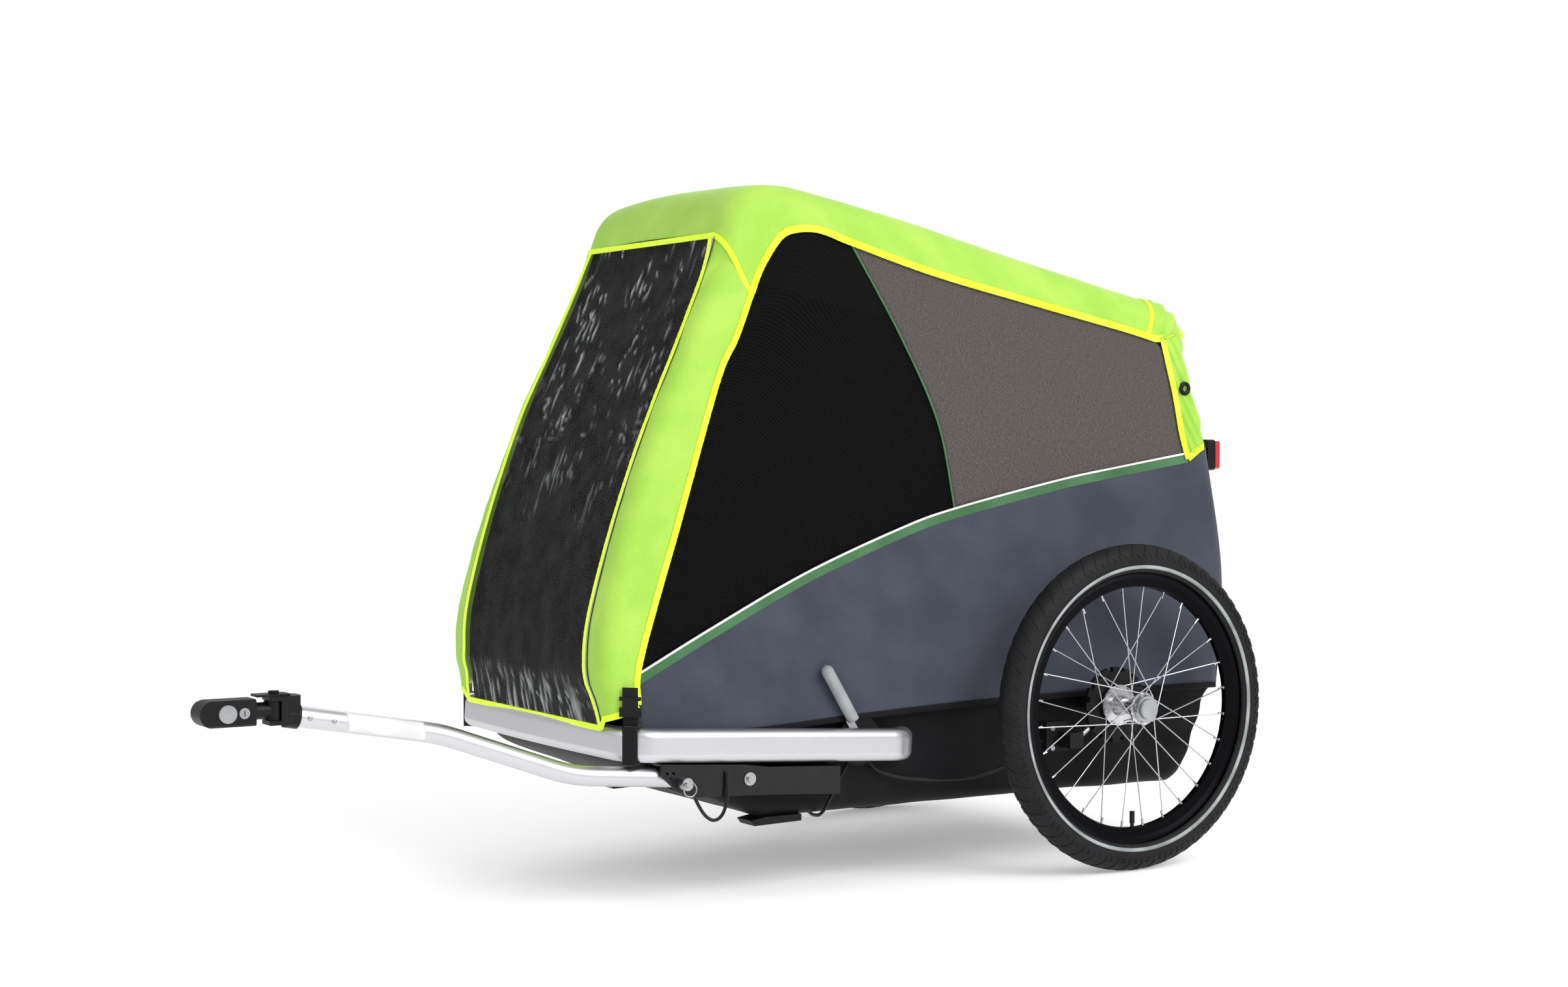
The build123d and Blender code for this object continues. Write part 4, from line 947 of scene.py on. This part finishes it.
# %% Geometry Nodes ring
def ring_tree():
    """Node tree that puts copies of the piece's own mesh round the Y axis."""
    tree = bpy.data.node_groups.new("ring_of_parts", "GeometryNodeTree")
    face = tree.interface
    face.new_socket("Part", in_out="INPUT", socket_type="NodeSocketGeometry")
    for name, kind in (("Count", "NodeSocketInt"), ("Radius", "NodeSocketFloat"),
                       ("Offset", "NodeSocketFloat"), ("Phase", "NodeSocketFloat")):
        face.new_socket(name, in_out="INPUT", socket_type=kind)
    face.new_socket("Finish", in_out="INPUT", socket_type="NodeSocketMaterial")
    face.new_socket("Ring", in_out="OUTPUT", socket_type="NodeSocketGeometry")
    given = tree.nodes.new("NodeGroupInput").outputs
    index = add(tree, "GeometryNodeInputIndex", {}, {})
    whole_turn = calc(tree, "DIVIDE", 2 * math.pi, given["Count"])
    angle = calc(tree, "MULTIPLY_ADD", index, whole_turn, given["Phase"])
    sine = calc(tree, "SINE", angle)
    cosine = calc(tree, "COSINE", angle)
    x = calc(tree, "MULTIPLY", sine, given["Radius"])
    z = calc(tree, "MULTIPLY", cosine, given["Radius"])
    place = add(tree, "ShaderNodeCombineXYZ", {}, {"X": x, "Y": given["Offset"], "Z": z})
    points = add(tree, "GeometryNodePoints", {}, {"Count": given["Count"], "Position": place})
    turn = add(tree, "ShaderNodeCombineXYZ", {}, {"Y": angle})
    copies = add(tree, "GeometryNodeInstanceOnPoints", {},
                 {"Points": points, "Instance": given["Part"], "Rotation": turn})
    solid = add(tree, "GeometryNodeRealizeInstances", {}, {"Geometry": copies})
    painted = add(tree, "GeometryNodeSetMaterial", {}, {"Geometry": solid, "Material": given["Finish"]})
    tree.links.new(painted, tree.nodes.new("NodeGroupOutput").inputs["Ring"])
    return tree


RING = ring_tree()
WHEEL_MID_Y = 365.0


def small_part(name, vertices, faces):
    """A small closed mesh, in millimetres about its own origin, facing outwards."""
    mesh = bpy.data.meshes.new(name)
    mesh.from_pydata([Vector(v) * MM for v in vertices], [], faces)
    weld(mesh, 1e-7)
    part = bpy.data.objects.new(name, mesh)
    bpy.context.scene.collection.objects.link(part)
    return part


def turned_part(name, profile, sides=10):
    """A small part turned about its own Z axis from (radius, z) points."""
    rings = [[(r * math.cos(a), r * math.sin(a), z)
              for a in np.linspace(0, 2 * math.pi, sides, endpoint=False)]
             for r, z in profile]
    vertices = [v for ring in rings for v in ring]
    faces = [(k * sides + i, k * sides + (i + 1) % sides,
              (k + 1) * sides + (i + 1) % sides, (k + 1) * sides + i)
             for k in range(len(profile) - 1) for i in range(sides)]
    faces += [tuple(range(sides)), tuple(range((len(profile) - 1) * sides, len(profile) * sides))]
    return small_part(name, vertices, faces)


def ring_of(name, part, count, radius, offset, finish, phase=0.0):
    """Copies of a part round the wheel's axle line, as one plain mesh."""
    modifier = part.modifiers.new("ring", "NODES")
    modifier.node_group = RING
    values = {"Count": count, "Radius": radius * MM, "Offset": offset * MM, "Phase": phase,
              "Finish": finish}
    for item in RING.interface.items_tree:
        if item.in_out == "INPUT" and item.name in values:
            modifier[item.identifier] = values[item.name]
    made = to_mesh(part, name)
    for vertex in made.data.vertices:
        vertex.co += at(0, 0, WHEEL_R)
    return made


def joined(name, parts):
    """Several meshes as one piece."""
    bpy.ops.object.select_all(action="DESELECT")
    for part in parts:
        part.select_set(True)
    bpy.context.view_layer.objects.active = parts[0]
    if len(parts) > 1:
        bpy.ops.object.join()
    parts[0].name = name
    return parts[0]


# %% [markdown]
# The tyre is turned from its round section. Its tread has a zigzag row of blocks on the crown and
# long blocks that reach down each shoulder, with grooves between them. A reflective ring is
# vulcanised into both sidewalls.

# %% Tyres
SECTION_MID_R, SECTION_TALL, SECTION_HALF = 225.0, 24.0, 22.6


def lathe(name, profile, mid_y, finish, steps=160):
    """Ring turned about the axle line from a closed outline of (radius, sideways) points."""
    outline = np.array(list(profile) + [profile[0]])
    turns = np.linspace(0, 2 * math.pi, steps + 1)
    grid = np.array([[(r * math.sin(a), mid_y + y, WHEEL_R + r * math.cos(a)) for r, y in outline]
                     for a in turns])
    piece = sheet(name, grid, finish, wall=0, inside=(0, 0, WHEEL_R))
    weld(piece.data)
    return piece


def tyre_section(grow=0.0):
    """Outline of the tyre's casing with its two beads, as (radius, sideways) points."""
    outer = [(SECTION_MID_R + (SECTION_TALL + grow) * math.sin(a), (SECTION_HALF + grow) * math.cos(a))
             for a in np.radians(np.arange(-52, 233, 9))]
    inner = [(SECTION_MID_R + (SECTION_TALL - 4) * math.sin(a), (SECTION_HALF - 4) * math.cos(a))
             for a in np.radians(np.arange(232, -53, -12))]
    return outer + inner


def tread_block(length, wide, tall, lean, curve_from):
    """A tread block on the tyre's crown; curve_from is its middle's angle over the shoulder."""
    vertices, faces = [], []
    cuts = np.linspace(-wide / 2, wide / 2, 5)
    for level in (-1.2, tall):
        for side in (-1, 1):
            for cut in cuts:
                a = curve_from + cut / SECTION_TALL
                r = SECTION_MID_R + (SECTION_TALL + level) * math.cos(a)
                taper = 0.5 * length * (0.92 if level > 0 else 1.0)
                vertices.append((side * taper + lean * cut, (SECTION_HALF + level) * math.sin(a), r))
    n = len(cuts)
    for k in range(n - 1):
        for low, high in ((0, n), (2 * n, 3 * n)):
            faces.append((low + k, low + k + 1, high + k + 1, high + k))
        faces.append((k, k + 1, 2 * n + k + 1, 2 * n + k))
        faces.append((n + k, n + k + 1, 3 * n + k + 1, 3 * n + k))
    for k in (0, n - 1):
        faces.append((k, n + k, 3 * n + k, 2 * n + k))
    return vertices, faces


TREAD_TALL = 0.9
TREAD_ROWS = ((62, 13.0, 11, 0.55, -0.24, 0.0), (62, 13.0, 11, -0.55, 0.24, 0.5),
              (62, 15.5, 15, -0.5, 0.80, 0.2), (62, 15.5, 15, 0.5, -0.80, 0.7),
              (124, 5.0, 7, 0.5, 1.22, 0.1), (124, 5.0, 7, -0.5, -1.22, 0.6))
for side, s in SIDES.items():
    mid = s * WHEEL_MID_Y
    casing = lathe(f"tyre_casing_{side}", tyre_section(), mid, TYRE_RUBBER)
    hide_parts(f"tyre_{side}")
    rows = []
    for k, (count, length, wide, lean, over, phase) in enumerate(TREAD_ROWS):
        part = small_part(f"block_{side}_{k}", *tread_block(length, wide, TREAD_TALL, lean, over))
        rows.append(ring_of(f"row_{side}_{k}", part, count, 0.0, mid, TYRE_RUBBER,
                            phase * 2 * math.pi / count))
    tread = joined(f"tyre_tread_{side}", rows)
    ring_profile = [(213.2, 20.9), (215.7, 21.75), (218.4, 22.5),
                    (218.6, 23.0), (215.7, 22.4), (213.0, 21.5)]
    bands = [lathe(f"band_{side}_{w}", [(r, w * y) for r, y in ring_profile], mid, REFLECTIVE)
             for w in (-1, 1)]
    reflector = joined(f"tyre_reflective_ring_{side}", bands)
    for piece in (casing, tread, reflector):
        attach(piece, f"wheel_{side}")
    print("tyre", side, "tread faces", len(tread.data.polygons))

# %% [markdown]
# Each spoke ends in a nipple at the rim. The holes in the hub's flanges show as small dark eyes.

# %% Nipples and flange holes
FLANGES = ((332.0, 27.5), (390.0, 21.8))
for side, s in SIDES.items():
    nipple = turned_part(f"nipple_{side}", [(1.5, -6), (1.7, -5), (1.7, 3), (2.6, 4), (2.6, 6)], 8)
    nipples = ring_of(f"spoke_nipples_{side}", nipple, 28, 180.0, s * WHEEL_MID_Y,
                      STAINLESS, math.pi / 28)
    eyes = []
    for k, (flange_y, radius) in enumerate(FLANGES):
        eye = turned_part(f"eye_{side}_{k}", [(1.9, -0.1), (1.9, 0.1)], 12)
        for vertex in eye.data.vertices:
            vertex.co = Vector((vertex.co.x, vertex.co.z, vertex.co.y))
        eyes.append(ring_of(f"eyes_{side}_{k}", eye, 14, radius + 0.4, s * (flange_y + 1.75),
                            TUBE_RUBBER, 0.1))
    holes = joined(f"hub_flange_holes_{side}", eyes)
    for piece in (nipples, holes):
        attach(piece, f"wheel_{side}")
print("nipples", 28, "holes", 14, "in each flange")

# %% [markdown]
# Small things tell the scale: a round eyelet in each rear corner, and a blank label and two rivets
# on the drawbar.

# %% Eyelets, label, rivets
for side, s in SIDES.items():
    x, z = 209.0, 741.0
    rim_points = [(11.5, 0.0), (11.0, 2.2), (8.0, 3.2), (5.0, 2.6), (4.6, 0.5)]
    turns = np.linspace(0, 2 * math.pi, 33)
    y = side_y(z) + 4.0
    grid = np.array([[(x + r * math.cos(a), s * (y + h), z + r * math.sin(a)) for r, h in rim_points]
                     for a in turns])
    eyelet = sheet(f"corner_eyelet_{side}", grid, NYLON, wall=0.5, inside=(x, 0, z))
    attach(eyelet, "rear_hoop")
DRAWBAR_Y, DRAWBAR_R = -262.0, 14.0
LABEL_FROM, LABEL_TO = (-1236.0, 292.5), (-1128.0, 273.4)
grid = []
for t in np.linspace(0, 1, 25):
    x = LABEL_FROM[0] + (LABEL_TO[0] - LABEL_FROM[0]) * t
    z = LABEL_FROM[1] + (LABEL_TO[1] - LABEL_FROM[1]) * t
    grid.append([(x, DRAWBAR_Y - (DRAWBAR_R + 0.35) * math.cos(a), z + (DRAWBAR_R + 0.35) * math.sin(a))
                 for a in np.radians(np.linspace(-50, 62, 15))])
label = sheet("drawbar_blank_label", grid, LABEL, wall=0.2, inside=(-1180, DRAWBAR_Y, 282))
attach(label, "frame")
rivets = []
for k, (x, z) in enumerate(((-1288.0, 301.8), (-1255.0, 295.9))):
    rivet = turned_part(f"rivet_{k}", [(3.6, -0.5), (3.6, 0.3), (2.9, 1.1), (1.6, 1.6)], 16)
    for vertex in rivet.data.vertices:
        vertex.co = Vector((vertex.co.x, -vertex.co.z, vertex.co.y)) + at(x, DRAWBAR_Y - DRAWBAR_R, z)
    rivet.data.materials.append(ZINC)
    rivets.append(rivet)
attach(joined("drawbar_rivets", rivets), "frame")
print("label and rivets on the drawbar")

# %% [markdown]
# The stage is a pale floor that fades out between 1.3 and 2.9 m from the middle, a white sky that is
# dimmer as a light than as a background, and three large soft lights.

# %% Stage and light
def studio():
    """Floor, world and soft lights."""
    bpy.ops.mesh.primitive_plane_add(size=60, location=(0, 0, 0))
    floor = bpy.context.active_object
    floor.name = "floor"
    made, tree, shader = start("pale_floor", Roughness=0.9)
    place = place_in(tree, "Object")
    away = add(tree, "ShaderNodeVectorMath", {"operation": "LENGTH"}, {0: place}, 1)
    fade = add(tree, "ShaderNodeMapRange", {"interpolation_type": "SMOOTHSTEP"},
               {"Value": away, "From Min": 1.3, "From Max": 2.9, "To Min": 1.0, "To Max": 0.0})
    wire(tree, shader, Alpha=fade)
    shader.inputs["Emission Color"].default_value = (1, 1, 1, 1)
    shader.inputs["Emission Strength"].default_value = 0.3
    shader.inputs["Base Color"].default_value = colour("#f4f4f4")
    floor.data.materials.append(made)
    world = bpy.data.worlds.new("studio")
    world.use_nodes = True
    world.node_tree.nodes["Background"].inputs["Color"].default_value = (1, 1, 1, 1)
    seen = add(world.node_tree, "ShaderNodeLightPath", {}, {})
    level = between(world.node_tree, seen, 0.62, 1.05)
    world.node_tree.links.new(level, world.node_tree.nodes["Background"].inputs["Strength"])
    bpy.context.scene.world = world
    for name, place, size, power in (("key", (600, -3600, 2900), 3.0, 130),
                                     ("front", (-4200, -1200, 2600), 2.5, 25),
                                     ("back", (2600, 3200, 2600), 3.0, 60)):
        lamp = bpy.data.lights.new(name, "AREA")
        lamp.size = size
        lamp.energy = power
        light = bpy.data.objects.new(name, lamp)
        light.location = at(*place)
        light.rotation_euler = (at(-300, 0, 500) - light.location).to_track_quat("-Z", "Y").to_euler()
        bpy.context.scene.collection.objects.link(light)
    bpy.context.scene.view_settings.view_transform = "Standard"


studio()
